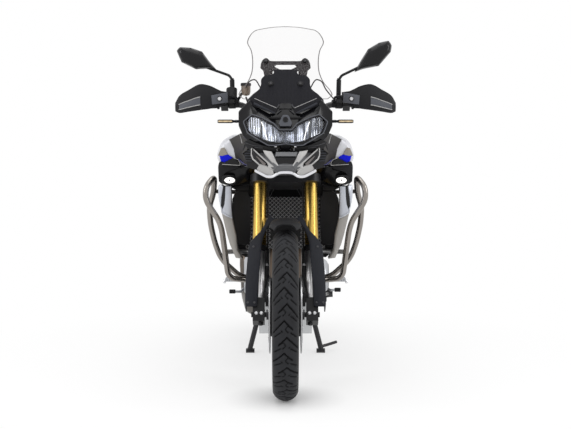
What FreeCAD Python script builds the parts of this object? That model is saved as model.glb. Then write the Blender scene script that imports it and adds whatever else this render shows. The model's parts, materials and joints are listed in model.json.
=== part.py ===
# Adventure motorcycle standing on its centre stand.
# The front points to -Y, +X is the rider's left and +Z is up.
# The origin lies on the ground, midway between the front tyre and the plate carrier.
import FreeCAD, Part
import math
import os

import Sketcher
from FreeCAD import Placement, Rotation, Vector

# Driving dimensions in millimetres and degrees: alias, value, meaning
SIZES = [
    ("frontAxleAhead", 774, "front axle ahead of the origin"),
    ("pivotBack", 940, "swingarm pivot behind the front axle"),
    ("pivotHeight", 418, "swingarm pivot above the ground"),
    ("swingarmReach", 570, "rear axle behind the swingarm pivot"),
    ("rearLift", 15, "rear tyre above the ground on the centre stand"),
    ("rakeAngle", 26, "steering axis from the vertical"),
    ("steerOffset", 48, "front axle ahead of the steering axis"),
    ("seatGap", 0.3, "clearance between pieces that seat on each other"),
    ("runningGap", 0.05, "radial clearance of a shaft in its bore"),
    ("frontTyreRadius", 331, "front tyre to the tips of its tread"),
    ("frontTyreWidth", 98, "front tyre section width"),
    ("frontSeatRadius", 241, "front rim bead seat radius"),
    ("frontRimHalf", 34, "front rim half width between its flanges"),
    ("rearTyreRadius", 320, "rear tyre to the tips of its tread"),
    ("rearTyreWidth", 146, "rear tyre section width"),
    ("rearSeatRadius", 216, "rear rim bead seat radius"),
    ("rearRimHalf", 52, "rear rim half width between its flanges"),
    ("flangeHeight", 9, "rim flange above the bead seat"),
    ("flangeWidth", 6, "rim flange width"),
    ("rimDepth", 26, "rim well below the bead seat"),
    ("spokeCount", 5, "pairs of wheel spokes"),
    ("spokeWidth", 15, "wheel spoke width"),
    ("spokeDepth", 26, "wheel spoke depth along the axle"),
    ("spokeSpread", 30, "half spread of a spoke pair at the rim"),
    ("axleDia", 20, "wheel axle diameter"),
    ("hubRadius", 42, "hub barrel radius"),
    ("hubFlangeRadius", 84, "hub flange radius"),
    ("frontHubHalf", 74, "front hub half length"),
    ("discSeat", 58.5, "front disc seat from the middle"),
    ("discThick", 4.5, "brake disc thickness"),
    ("frontDiscRadius", 150, "front brake disc radius"),
    ("rearDiscRadius", 120, "rear brake disc radius"),
    ("discBandWidth", 36, "width of the band that the pads sweep"),
    ("discHoles", 20, "drilled holes in one row of a brake disc"),
    ("rearDiscSeat", 84, "rear disc seat from the middle"),
    ("rearHubHalf", 98, "rear hub half length"),
    ("forkSpan", 104, "fork leg from the middle"),
    ("forkOffset", 32, "fork legs ahead of the steering axis"),
    ("forkTubeDia", 54, "outer fork tube diameter"),
    ("forkTubeLow", 268, "lower end of the outer fork tube, along the steering axis"),
    ("forkTubeTop", 806, "upper end of the outer fork tube, along the steering axis"),
    ("forkLegDia", 43, "inner fork leg diameter"),
    ("forkCapHigh", 10, "fork top cap height"),
    ("forkSealLong", 16, "dust seal collar length"),
    ("forkSealWall", 2.5, "dust seal collar outside the fork tube"),
    ("forkFootWide", 46, "fork foot width"),
    ("forkFootDeep", 62, "fork foot depth"),
    ("forkFootLow", 30, "fork foot below the axle line"),
    ("forkFootHigh", 62, "fork foot above the axle line"),
    ("headLow", 600, "lower end of the head tube, along the steering axis"),
    ("headHigh", 765, "upper end of the head tube, along the steering axis"),
    ("headDia", 62, "head tube diameter"),
    ("stemDia", 28, "steering stem diameter"),
    ("stemGap", 3, "radial room round the steering stem"),
    ("yokeGap", 6, "room between the head tube and each yoke"),
    ("lowerYokeThick", 36, "lower yoke thickness"),
    ("upperYokeThick", 26, "upper yoke thickness"),
    ("yokeWall", 13, "yoke wall round a fork tube"),
    ("barDia", 25, "handlebar diameter"),
    ("barRise", 112, "handlebar grips above the bar clamp"),
    ("barHalf", 415, "handlebar half width"),
    ("barClampAt", 838, "handlebar clamp, along the steering axis"),
    ("barClampHalf", 48, "handlebar riser from the middle"),
    ("gripStart", 282, "inner end of a grip from the middle"),
    ("gripDia", 33, "grip diameter"),
    ("frameTubeDia", 28, "main frame tube diameter"),
    ("pivotPlateIn", 140, "inner face of a pivot plate from the middle"),
    ("pivotPlateThick", 10, "pivot plate thickness"),
    ("railDia", 22, "subframe rail diameter"),
    ("engineHalf", 92, "crankcase half width"),
    ("clutchCoverOut", 186, "clutch cover from the middle, right side"),
    ("generatorCoverOut", 190, "generator cover from the middle, left side"),
    ("coverBossDia", 14, "screw boss diameter round an engine cover"),
    ("oilFilterDia", 62, "oil filter diameter"),
    ("oilFilterLong", 52, "oil filter ahead of the crankcase"),
    ("cylinderLean", 20, "cylinders lean forward"),
    ("cylinderHalf", 100, "cylinder block half width"),
    ("cylinderRibs", 5, "stiffening ribs round the cylinder block"),
    ("cylinderRibThick", 4, "cylinder rib thickness"),
    ("armIn", 106, "inner face of a swingarm arm from the middle"),
    ("armThick", 30, "swingarm arm thickness"),
    ("chainLine", 92, "middle of the chain from the middle of the motorcycle"),
    ("chainPitch", 15.875, "chain pitch"),
    ("chainLinks", 116, "links in the chain"),
    ("rearTeeth", 48, "rear sprocket teeth"),
    ("frontTeeth", 15, "front sprocket teeth"),
    ("sprocketThick", 6.5, "sprocket thickness"),
    ("rollerDia", 10, "chain roller diameter"),
    ("plateHeight", 14.5, "chain plate height"),
    ("plateThick", 3, "chain plate thickness, both plates of a side together"),
    ("radiatorHalf", 165, "radiator half width"),
    ("radiatorHigh", 209, "radiator height"),
    ("radiatorThick", 34, "radiator thickness"),
    ("radiatorFins", 26, "gaps between the radiator's fin rows"),
    ("coolantHoseDia", 22, "coolant hose diameter"),
    ("barTubeDia", 24, "crash bar tube diameter"),
    ("standPivotHeight", 292, "centre stand pivot above the ground"),
    ("standPivotBack", 10, "centre stand pivot behind the swingarm pivot"),
    ("standLead", 18, "centre stand feet ahead of its pivot"),
    ("standLegAt", 118, "centre stand leg from the middle at its pivot"),
    ("standFootAt", 168, "centre stand foot from the middle"),
    ("standTubeDia", 24, "centre stand tube diameter"),
    ("sideStandLength", 248, "side stand length"),
    ("screenThick", 4, "windscreen thickness"),
]

doc = FreeCAD.newDocument("AdventureMotorcycle")
sheet = doc.addObject("Spreadsheet::Sheet", "Sizes")
for row, (alias, value, meaning) in enumerate(SIZES, 1):
    sheet.set(f"A{row}", meaning)
    sheet.set(f"B{row}", str(value))
    sheet.setAlias(f"B{row}", alias)
doc.recompute()


def size(alias):
    return float(sheet.get(alias))


def worth(expression):
    """The number that an expression on the sheet gives."""
    return float(sheet.evalExpression(expression))


# Places worked out from the driving dimensions
rake = math.radians(size("rakeAngle"))
frontAxle = Vector(0, -size("frontAxleAhead"), size("frontTyreRadius"))
pivot = Vector(0, frontAxle.y + size("pivotBack"), size("pivotHeight"))
rearAxle = Vector(0, pivot.y + size("swingarmReach"), size("rearTyreRadius") + size("rearLift"))
steerFoot = frontAxle + Vector(0, math.cos(rake), -math.sin(rake)) * size("steerOffset")
steerTurn = Rotation(Vector(1, 0, 0), -size("rakeAngle"))
steerPlace = Placement(steerFoot, steerTurn)


def on_steer(x, ahead, up):
    """A point x from the middle, ahead of the steering axis and up along it."""
    return steerPlace.multVec(Vector(x, -ahead, up))


standPivot = Vector(0, pivot.y + size("standPivotBack"), size("standPivotHeight"))

# The same places as expressions, for the objects that are bound to the sheet
FRONT_AXLE = ("0", "-Sizes.frontAxleAhead", "Sizes.frontTyreRadius")
PIVOT_Y = "(Sizes.pivotBack - Sizes.frontAxleAhead)"
REAR_AXLE = ("0", f"({PIVOT_Y} + Sizes.swingarmReach)", "(Sizes.rearTyreRadius + Sizes.rearLift)")
STEER_FOOT = (
    "0",
    "-Sizes.frontAxleAhead + Sizes.steerOffset * cos(Sizes.rakeAngle)",
    "Sizes.frontTyreRadius - Sizes.steerOffset * sin(Sizes.rakeAngle)",
)

pieces = {}


def bind(thing, **expressions):
    """Binds properties of an object to expressions on the sheet."""
    for name, expression in expressions.items():
        thing.setExpression(name, expression)
    return thing


def place(thing, at, axis=None, angle="0"):
    """Binds the place of an object: a point of three expressions, and a turn about an axis."""
    if axis is not None:
        thing.Placement = Placement(Vector(0, 0, 0), Rotation(axis, worth(angle) or 1))
        thing.setExpression("Placement.Rotation.Angle", angle)
    for letter, expression in zip("xyz", at):
        thing.setExpression(f"Placement.Base.{letter}", expression)
    return thing


def keep(node, thing):
    """Names a finished sub-part."""
    thing.Label = node
    pieces[node] = thing
    return thing


def feature(node, shape):
    """A sub-part whose shape is set here from the sheet's values."""
    thing = doc.addObject("Part::Feature", node)
    thing.Shape = shape
    return keep(node, thing)


def cylinder(name, radius, height, at, along="Z"):
    """A bound cylinder from a point, along +X, +Y or +Z."""
    thing = doc.addObject("Part::Cylinder", name)
    bind(thing, Radius=radius, Height=height)
    turns = {"X": (Vector(0, 1, 0), "90"), "Y": (Vector(1, 0, 0), "-90"), "Z": (None, "0")}
    return place(thing, at, *turns[along])


def fused(name, *things):
    """One bound solid from several."""
    thing = doc.addObject("Part::MultiFuse", name)
    thing.Shapes = list(things)
    thing.Refine = True
    return thing


def cut(name, base, *tools):
    """A bound solid with others cut out of it."""
    thing = doc.addObject("Part::Cut", name)
    thing.Base = base
    thing.Tool = tools[0] if len(tools) == 1 else fused(name + "Tools", *tools)
    return thing


def both_sides(name, thing):
    """A piece and its mirror image in the middle plane, as two solids."""
    mirror = doc.addObject("Part::Mirroring", name + "Mirror")
    mirror.Source = thing
    mirror.Normal = Vector(1, 0, 0)
    pair = doc.addObject("Part::Compound", name)
    pair.Links = [thing, mirror]
    return pair


def plane_of(body, role):
    return next(item for item in body.Origin.OriginFeatures if item.Role == role)


def sketch_on(body, name, role):
    """An empty sketch on one of the body's own planes."""
    sketch = body.newObject("Sketcher::SketchObject", name)
    sketch.AttachmentSupport = [(plane_of(body, role), "")]
    sketch.MapMode = "FlatFace"
    return sketch


def constrain(sketch, kind, *where, to):
    index = sketch.addConstraint(Sketcher.Constraint(kind, *where, worth(to)))
    sketch.setExpression(f"Constraints[{index}]", to)


def outline(sketch, corners):
    """A closed outline through corners given as expressions.

    A corner with a third entry starts an arc of that radius, which bulges to the right of its way.
    """
    first = sketch.GeometryCount
    count = len(corners)
    points = [Vector(worth(c[0]), worth(c[1]), 0) for c in corners]
    for index, corner in enumerate(corners):
        start, end = points[index], points[(index + 1) % count]
        if len(corner) == 2:
            sketch.addGeometry(Part.LineSegment(start, end))
            continue
        radius = worth(corner[2])
        chord = end - start
        rise = radius - math.sqrt(radius**2 - chord.Length**2 / 4)
        right = Vector(chord.y, -chord.x, 0).normalize()
        sketch.addGeometry(Part.Arc(start, (start + end) / 2 + right * rise, end))
    for index, corner in enumerate(corners):
        curve = first + index
        following = first + (index + 1) % count
        arc = len(corner) == 3
        # An arc from Part.Arc runs anticlockwise, so a right-hand bulge keeps start and end in order
        sketch.addConstraint(Sketcher.Constraint("Coincident", curve, 2, following, 1))
        constrain(sketch, "DistanceX", -1, 1, curve, 1, to=corner[0])
        constrain(sketch, "DistanceY", -1, 1, curve, 1, to=corner[1])
        if arc:
            constrain(sketch, "Radius", curve, to=corner[2])


def ring(sketch, radius, x="0", y="0"):
    """A circle whose radius and centre are expressions."""
    index = sketch.addGeometry(Part.Circle(Vector(worth(x), worth(y), 0), Vector(0, 0, 1), worth(radius)))
    constrain(sketch, "Radius", index, to=radius)
    constrain(sketch, "DistanceX", -1, 1, index, 3, to=x)
    constrain(sketch, "DistanceY", -1, 1, index, 3, to=y)


def turned(body, name, corners):
    """A revolution about X of an outline given as distance along the axle and radius."""
    sketch = sketch_on(body, name + "Profile", "XY_Plane")
    outline(sketch, corners)
    revolution = body.newObject("PartDesign::Revolution", name)
    revolution.Profile = sketch
    revolution.ReferenceAxis = (sketch, ["H_Axis"])
    revolution.Angle = 360
    return revolution


def pad(body, name, sketch, length, symmetric=True):
    thing = body.newObject("PartDesign::Pad", name)
    thing.Profile = sketch
    thing.SideType = "Symmetric" if symmetric else "One side"
    thing.setExpression("Length", length)
    return thing


def around(body, name, original, count):
    """A full polar pattern about the body's X axis."""
    pattern = body.newObject("PartDesign::PolarPattern", name)
    pattern.Originals = [original]
    pattern.Axis = (plane_of(body, "X_Axis"), [""])
    pattern.Angle = 360
    pattern.setExpression("Occurrences", count)
    body.Tip = pattern
    return pattern


# Shapes that neither a sketch nor a bound primitive fits: bent tubes, lofts and bodywork
def tube_path(points, bend):
    """Straight runs joined by tangent arcs."""
    edges = []
    start = points[0]
    for before, corner, after in zip(points, points[1:], points[2:]):
        way_in = (corner - before).normalize()
        way_out = (after - corner).normalize()
        half = way_in.getAngle(way_out) / 2
        if half < 0.01:
            continue
        room = 0.48 * min((corner - before).Length, (after - corner).Length)
        setback = min(bend * math.tan(half), room)
        radius = setback / math.tan(half)
        entry, leaving = corner - way_in * setback, corner + way_out * setback
        middle_way = (way_out - way_in).normalize()
        middle = corner + middle_way * (radius / math.cos(half) - radius)
        if (entry - start).Length > 1e-6:
            edges.append(Part.LineSegment(start, entry).toShape())
        edges.append(Part.Arc(entry, middle, leaving).toShape())
        start = leaving
    edges.append(Part.LineSegment(start, points[-1]).toShape())
    return Part.Wire(edges)


def tube(points, diameter, bend=60):
    """A round bar swept along points, with its corners bent."""
    path = tube_path(points, bend)
    section = Part.Wire(Part.Circle(points[0], points[1] - points[0], diameter / 2).toShape())
    shape = path.makePipeShell([section], True, False)
    return shape


def mirrored(shape):
    return shape.mirror(Vector(0, 0, 0), Vector(1, 0, 0))


def rod(start, end, diameter):
    return Part.makeCylinder(diameter / 2, (end - start).Length, start, end - start)


def prism(points, way):
    """The solid that a flat closed outline sweeps along a way."""
    return Part.Face(Part.makePolygon(list(points) + [points[0]])).extrude(way)


def side_plate(corners, x0, x1):
    """A plate across X from an outline given as (y, z)."""
    return prism([Vector(x0, y, z) for y, z in corners], Vector(x1 - x0, 0, 0))


def loft(sections, ruled=True):
    """A solid through closed outlines, each a list of points."""
    wires = [Part.makePolygon(list(points) + [points[0]]) for points in sections]
    return Part.makeLoft(wires, True, ruled)


def one_solid(shape):
    solids = shape.Solids
    return max(solids, key=lambda item: item.Volume)


def join(*shapes):
    return shapes[0].multiFuse(list(shapes[1:])).removeSplitter()


def less(shape, *tools):
    for tool in tools:
        shape = shape.cut(tool)
    return shape


# Wheels: the tyre fills the space over its rim, as air and casing do together
def tyre(node, radius, width, seat, half, at):
    body = doc.addObject("PartDesign::Body", node)
    crown = f"{width} * 0.53"
    shoulder = f"({radius} - {crown} + sqrt(({crown})^2 - ({width} / 2)^2))"
    lip = f"({seat} + Sizes.flangeHeight)"
    wall = f"{width} * 0.62"
    turned(body, node + "Casing", [
        (f"-{half}", seat),
        (half, seat),
        (half, lip, wall),
        (f"{width} / 2", shoulder, crown),
        (f"-{width} / 2", shoulder, wall),
        (f"-{half}", lip),
    ])
    place(body, at)
    return keep(node, body)


def rim_corners(seat, half):
    lip = f"{seat} + Sizes.flangeHeight"
    out = f"({half} + Sizes.flangeWidth)"
    return [
        (f"-{out}", lip),
        (f"-{out}", f"{seat} - 4"),
        (f"-{half} * 0.45", f"{seat} - Sizes.rimDepth * 0.6"),
        (f"-{half} * 0.3", f"{seat} - Sizes.rimDepth"),
        (f"{half} * 0.3", f"{seat} - Sizes.rimDepth"),
        (f"{half} * 0.45", f"{seat} - Sizes.rimDepth * 0.6"),
        (out, f"{seat} - 4"),
        (out, lip),
        (half, lip),
        (half, seat),
        (f"-{half}", seat),
        (f"-{half}", lip),
    ]


def wheel(node, seat, half, hub_corners, at):
    """A cast wheel: hub, paired spokes and rim."""
    body = doc.addObject("PartDesign::Body", node)
    body.AllowCompound = True
    turned(body, node + "Hub", hub_corners)
    sketch = sketch_on(body, node + "SpokePair", "YZ_Plane")
    outer = f"({seat} - Sizes.rimDepth + 6)"
    inner = "(Sizes.hubRadius - 6)"
    for side in ("", "-"):
        outline(sketch, [
            (f"{side}Sizes.spokeWidth * 0.25", inner),
            (f"{side}Sizes.spokeWidth * 1.25", inner),
            (f"{side}(Sizes.spokeSpread + Sizes.spokeWidth / 2)", outer),
            (f"{side}(Sizes.spokeSpread - Sizes.spokeWidth / 2)", outer),
        ])
    spokes = pad(body, node + "Spokes", sketch, "Sizes.spokeDepth")
    around(body, node + "SpokePattern", spokes, "Sizes.spokeCount")
    turned(body, node + "Rim", rim_corners(seat, half))
    place(body, at)
    return keep(node, body)


BORE = "(Sizes.axleDia / 2 + Sizes.runningGap)"


def front_hub():
    half = [
        ("Sizes.frontHubHalf", BORE),
        ("Sizes.frontHubHalf", "Sizes.axleDia"),
        ("Sizes.discSeat", "Sizes.axleDia"),
        ("Sizes.discSeat", "Sizes.hubFlangeRadius"),
        ("Sizes.discSeat - 9", "Sizes.hubFlangeRadius"),
        ("Sizes.discSeat - 12", "Sizes.hubRadius + 10"),
        ("Sizes.discSeat - 30", "Sizes.hubRadius"),
    ]
    return half + [(f"-({x})", r) for x, r in reversed(half)]


def rear_hub():
    right = [
        ("-(Sizes.chainLine - Sizes.sprocketThick / 2 - 34)", "Sizes.hubRadius"),
        ("-(Sizes.rearDiscSeat - 16)", "Sizes.hubRadius"),
        ("-(Sizes.rearDiscSeat - 12)", "Sizes.hubFlangeRadius - 14"),
        ("-Sizes.rearDiscSeat", "Sizes.hubFlangeRadius - 14"),
        ("-Sizes.rearDiscSeat", "Sizes.axleDia"),
        ("-Sizes.rearHubHalf", "Sizes.axleDia"),
        ("-Sizes.rearHubHalf", BORE),
    ]
    face = "(Sizes.chainLine - Sizes.sprocketThick / 2)"
    left = [
        ("Sizes.rearHubHalf", BORE),
        ("Sizes.rearHubHalf", "Sizes.axleDia"),
        (face, "Sizes.axleDia"),
        (face, "Sizes.hubFlangeRadius - 6"),
        (f"{face} - 16", "Sizes.hubFlangeRadius - 6"),
        (f"{face} - 22", "Sizes.hubRadius + 12"),
        (f"{face} - 34", "Sizes.hubRadius"),
    ]
    return left + right


def disc(name, radius, seat):
    """A drilled brake disc whose inner face lies on its seat."""
    body = doc.addObject("PartDesign::Body", name)
    sketch = sketch_on(body, name + "Ring", "YZ_Plane")
    ring(sketch, radius)
    ring(sketch, "Sizes.hubFlangeRadius * 0.55")
    pad(body, name + "Pad", sketch, "Sizes.discThick", symmetric=False)
    doc.recompute()
    holes = sketch_on(body, name + "Hole", "YZ_Plane")
    ring(holes, "4.5", f"{radius} - Sizes.discBandWidth * 0.3")
    ring(holes, "4.5", f"({radius} - Sizes.discBandWidth * 0.72) * cos(9)",
         f"({radius} - Sizes.discBandWidth * 0.72) * sin(9)")
    pocket = body.newObject("PartDesign::Pocket", name + "Holes")
    pocket.Profile = holes
    pocket.Type = "ThroughAll"
    pocket.SideType = "Two sides"
    pocket.Type2 = "ThroughAll"
    around(body, name + "HolePattern", pocket, "Sizes.discHoles")
    return body


tyre("front_tyre", "Sizes.frontTyreRadius", "Sizes.frontTyreWidth", "Sizes.frontSeatRadius",
     "Sizes.frontRimHalf", FRONT_AXLE)
wheel("front_rim", "Sizes.frontSeatRadius", "Sizes.frontRimHalf", front_hub(), FRONT_AXLE)
frontDisc = disc("FrontDisc", "Sizes.frontDiscRadius", "Sizes.discSeat")
place(frontDisc, ("Sizes.discSeat", FRONT_AXLE[1], FRONT_AXLE[2]))
keep("front_discs", both_sides("FrontDiscs", frontDisc))

tyre("rear_tyre", "Sizes.rearTyreRadius", "Sizes.rearTyreWidth", "Sizes.rearSeatRadius",
     "Sizes.rearRimHalf", REAR_AXLE)
wheel("rear_rim", "Sizes.rearSeatRadius", "Sizes.rearRimHalf", rear_hub(), REAR_AXLE)
rearDisc = disc("RearDisc", "Sizes.rearDiscRadius", "Sizes.rearDiscSeat")
place(rearDisc, ("-Sizes.rearDiscSeat - Sizes.discThick", REAR_AXLE[1], REAR_AXLE[2]))
keep("rear_disc", rearDisc)


# Steering: fork, yokes, bar and what turns with them
def steer_point(ahead, up):
    """Expressions for a point ahead of the steering axis and up along it."""
    return (
        f"({STEER_FOOT[1]} - ({ahead}) * cos(Sizes.rakeAngle) + ({up}) * sin(Sizes.rakeAngle))",
        f"({STEER_FOOT[2]} + ({ahead}) * sin(Sizes.rakeAngle) + ({up}) * cos(Sizes.rakeAngle))",
    )


def along_steering(name, radius, low, high, x, ahead):
    """A bound cylinder parallel to the steering axis between two heights along it."""
    thing = doc.addObject("Part::Cylinder", name)
    bind(thing, Radius=radius, Height=f"({high}) - ({low})")
    return place(thing, (x, *steer_point(ahead, low)), Vector(1, 0, 0), "-Sizes.rakeAngle")


def steered(shape):
    """Moves a shape modelled round the steering axis, ahead of it towards -Y, to its place."""
    moved = shape.copy()
    moved.Placement = steerPlace.multiply(moved.Placement)
    return moved


def fork_tube(name, x):
    tube_outside = along_steering(name + "Outside", "Sizes.forkTubeDia / 2", "Sizes.forkTubeLow",
                                  "Sizes.forkTubeTop", x, "Sizes.forkOffset")
    tube_bore = along_steering(name + "Bore", "Sizes.forkLegDia / 2 + Sizes.seatGap",
                               "Sizes.forkTubeLow - 1", "Sizes.forkTubeTop - 60", x, "Sizes.forkOffset")
    cap = along_steering(name + "Cap", "Sizes.forkTubeDia / 2 - 6", "Sizes.forkTubeTop",
                         "Sizes.forkTubeTop + Sizes.forkCapHigh", x, "Sizes.forkOffset")
    seal = along_steering(name + "Seal", "Sizes.forkTubeDia / 2 + Sizes.forkSealWall", "Sizes.forkTubeLow",
                          "Sizes.forkTubeLow + Sizes.forkSealLong", x, "Sizes.forkOffset")
    return cut(name, fused(name + "Whole", tube_outside, cap, seal), tube_bore)


forkPair = doc.addObject("Part::Compound", "ForkTubes")
forkPair.Links = [fork_tube("LeftForkTube", "Sizes.forkSpan"), fork_tube("RightForkTube", "-Sizes.forkSpan")]
keep("fork_tubes", forkPair)

legParts = []
for sideName, sideX in (("Left", "Sizes.forkSpan"), ("Right", "-Sizes.forkSpan")):
    legParts.append(along_steering(sideName + "ForkLeg", "Sizes.forkLegDia / 2", "Sizes.forkFootHigh - 8",
                                   "Sizes.forkTubeTop - 300", sideX, "Sizes.forkOffset"))
    foot = doc.addObject("Part::Box", sideName + "ForkFoot")
    bind(foot, Length="Sizes.forkFootWide", Width="Sizes.forkFootDeep",
         Height="Sizes.forkFootLow + Sizes.forkFootHigh")
    place(foot, (f"{sideX} - Sizes.forkFootWide / 2",
                 *steer_point("Sizes.forkOffset + Sizes.forkFootDeep / 2 + 6", "-Sizes.forkFootLow")),
          Vector(1, 0, 0), "-Sizes.rakeAngle")
    legParts.append(foot)
axleStart = ("-Sizes.forkSpan - Sizes.forkFootWide / 2 - 6", FRONT_AXLE[1], FRONT_AXLE[2])
legParts.append(cylinder("FrontAxle", "Sizes.axleDia / 2", "Sizes.forkSpan * 2 + Sizes.forkFootWide + 12",
                         axleStart, "X"))
keep("fork_legs", fused("ForkLegs", *legParts))
doc.recompute()

span, offset = size("forkSpan"), size("forkOffset")
yokeRound = size("forkTubeDia") / 2 + size("yokeWall")
boreRound = size("forkTubeDia") / 2 + size("seatGap")


def yoke(low, thick, back, front):
    """A clamp plate between both fork tubes, narrow behind the stem so that it clears the frame."""
    heel = size("stemDia") + 8
    plate = prism([Vector(x, y, low) for x, y in (
        (-span, -offset - front), (span, -offset - front), (span, -offset + yokeRound - 8),
        (heel, back), (-heel, back), (-span, -offset + yokeRound - 8))], Vector(0, 0, thick))
    ends = [Part.makeCylinder(yokeRound, thick, Vector(x, -offset, low)) for x in (-span, span)]
    return join(plate, *ends)


lowerYokeAt = size("headLow") - size("yokeGap") - size("lowerYokeThick")
upperYokeAt = size("headHigh") + size("yokeGap")
upperYokeTop = upperYokeAt + size("upperYokeThick")
stem = Part.makeCylinder(size("stemDia") / 2, upperYokeTop + 8 - lowerYokeAt, Vector(0, 0, lowerYokeAt))
yokes = join(yoke(lowerYokeAt, size("lowerYokeThick"), 25, 24),
             yoke(upperYokeAt, size("upperYokeThick"), 26, 18), stem)
for x in (-span, span):
    yokes = yokes.cut(Part.makeCylinder(boreRound, 400, Vector(x, -offset, lowerYokeAt - 20)))
barAt, barRise, barEnd = size("barClampAt"), size("barRise"), size("barHalf")
barSide = [Vector(size("barClampHalf") + 30, -8, barAt), Vector(178, -4, barAt + barRise * 0.86),
           Vector(250, 4, barAt + barRise * 0.93), Vector(barEnd, 32, barAt + barRise)]
barPoints = [Vector(-p.x, p.y, p.z) for p in reversed(barSide)] + barSide
bar = tube(barPoints, size("barDia"), 70)
risers = []
for x in (-size("barClampHalf"), size("barClampHalf")):
    riser = Part.makeBox(32, 42, barAt + 24 - upperYokeTop, Vector(x - 16, -29, upperYokeTop - 0.5))
    risers.append(riser.cut(bar))
feature("fork_yokes", steered(join(yokes, *risers)))
feature("handlebar", steered(bar))


def beside_bar(x):
    """A point on the bar's middle line and the way along it, on the outer straight."""
    start, end = barSide[2], barSide[3]
    way = (end - start).normalize()
    return start + way * ((x - start.x) / way.x), way


gripFrom, gripWay = beside_bar(size("gripStart"))
gripLength = size("barHalf") - size("gripStart") - 6
grip = Part.makeCylinder(size("gripDia") / 2, gripLength, gripFrom, gripWay)
grip = grip.fuse(Part.makeCylinder(size("gripDia") / 2 + 4, 6, gripFrom, gripWay))
grip = grip.cut(Part.makeCylinder(size("barDia") / 2 + 0.05, gripLength + 20, gripFrom - gripWay * 10,
                                  gripWay))
feature("grips", steered(Part.Compound([one_solid(grip), mirrored(one_solid(grip))])))


def bar_clamp(x, length, outer):
    """A clamp block round the bar."""
    at, way = beside_bar(x)
    return Part.makeCylinder(outer / 2, length, at, way)


def bar_control(side):
    """A switch cube, a perch and its lever on the left bar end; the right is its mirror image."""
    at, way = beside_bar(248)
    switch = Part.makeBox(30, 46, 44, Vector(at.x - 6, at.y - 25, at.z - 22))
    perchAt = beside_bar(224)[0]
    perchCorner = perchAt - Vector(10, 58, 9)
    perch = join(bar_clamp(212, 26, 40), Part.makeBox(26, 44, 18, perchCorner))
    leverFrom = Vector(perchAt.x + 4, perchAt.y - 52, perchAt.z)
    lever = tube([leverFrom, leverFrom + Vector(60, -6, 0), leverFrom + Vector(180, 26, 2)], 11, 60)
    control = join(switch, perch, lever, bar_clamp(230, 24, 34))
    if side < 0:
        cup = Part.makeCylinder(23, 40, Vector(perchAt.x + 2, perchAt.y - 44, perchAt.z + 6))
        control = join(control, cup)
    control = control.cut(bar).cut(grip)
    return control if side > 0 else mirrored(control)


feature("hand_controls", steered(Part.Compound([bar_control(1), bar_control(-1)])))


def spot(x, y, z):
    return Vector(x, y, z)


def scaled(points, factor, middle):
    return [middle + (p - middle) * factor for p in points]


def station(y, corners):
    """An outline across Y at one y, given as (x, z)."""
    return [Vector(x, y, z) for x, z in corners]


def slice_at(x, corners):
    """An outline across X at one x, given as (y, z)."""
    return [Vector(x, y, z) for y, z in corners]


def level_at(z, corners):
    """An outline across Z at one z, given as (x, y)."""
    return [Vector(x, y, z) for x, y in corners]


handControls = pieces["hand_controls"].Shape
barWorld = pieces["handlebar"].Shape
guardStations = []
for x, y, low, high in ((234, -398, 1168, 1203), (266, -408, 1148, 1207), (313, -412, 1134, 1229),
                        (351, -410, 1129, 1236), (402, -396, 1122, 1213), (446, -366, 1117, 1187),
                        (464, -344, 1124, 1160)):
    middle = (low + high) / 2
    guardStations.append(slice_at(x, [(y + 8, low), (y, middle), (y + 6, high), (y + 12, high),
                                      (y + 6, middle), (y + 14, low)]))
guardShell = loft(guardStations)
barTip, barWay = beside_bar(size("barHalf"))
tipAt = steerPlace.multVec(barTip)
tipWay = steerTurn.multVec(barWay)
clampAt = steerPlace.multVec(beside_bar(196)[0])
guardEnd = join(Part.makeCylinder(14, 24, tipAt, tipWay),
                tube([tipAt + tipWay * 12, spot(456, -312, 1146), spot(455, -350, 1142)], 13, 20),
                Part.makeCylinder(17, 14, clampAt, tipWay),
                tube([clampAt + tipWay * 7, spot(206, -372, 1183), spot(244, -392, 1186)], 11, 20))
guardSide = join(guardShell, less(guardEnd, barWorld, handControls))
feature("hand_guards", Part.Compound([one_solid(guardSide), mirrored(one_solid(guardSide))]))

leftMirror = [(432, 1419), (445, 1400), (441, 1372), (391, 1314), (327, 1302), (289, 1288), (314, 1333),
              (346, 1384), (392, 1411)]
rightMirror = [(-456, 1377), (-437, 1330), (-376, 1300), (-327, 1303), (-289, 1298), (-315, 1326),
               (-350, 1374), (-398, 1390), (-443, 1392)]
mirrorSides = []
for side, corners in ((1, leftMirror), (-1, rightMirror)):
    points = station(0, corners)
    middle = sum(points, Vector()) * (1 / len(points))
    shell = loft([[p + Vector(0, y, 0) for p in scaled(points, factor, middle)]
                  for y, factor in ((-374, 0.55), (-366, 0.86), (-352, 0.98), (-334, 1), (-328, 0.96))])
    footAt = spot(222 * side, -349, 1172)
    stemTop = spot(224 * side, -345, 1256)
    sleeveFrom = footAt + (stemTop - footAt) * 0.35
    stem = join(rod(footAt, stemTop, 20), rod(sleeveFrom, stemTop + spot(0, 0, 6), 15),
                tube([stemTop, spot(236 * side, -345, 1274), middle + Vector(-18 * side, -350, -26)],
                     11, 22))
    mirrorSides.append(one_solid(less(join(shell, stem), handControls, pieces["hand_guards"].Shape)))
feature("mirrors", Part.Compound(mirrorSides))


def about_axle(profile, centre, start, sweep):
    """A solid turned about an axle: an outline given as (x, radius), from an angle behind level, rising."""
    face = Part.Face(Part.makePolygon([Vector(x, r, 0) for x, r in profile + profile[:1]]))
    face.rotate(Vector(0, 0, 0), Vector(1, 0, 0), start)
    return face.revolve(Vector(0, 0, 0), Vector(1, 0, 0), sweep).translated(centre)


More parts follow.
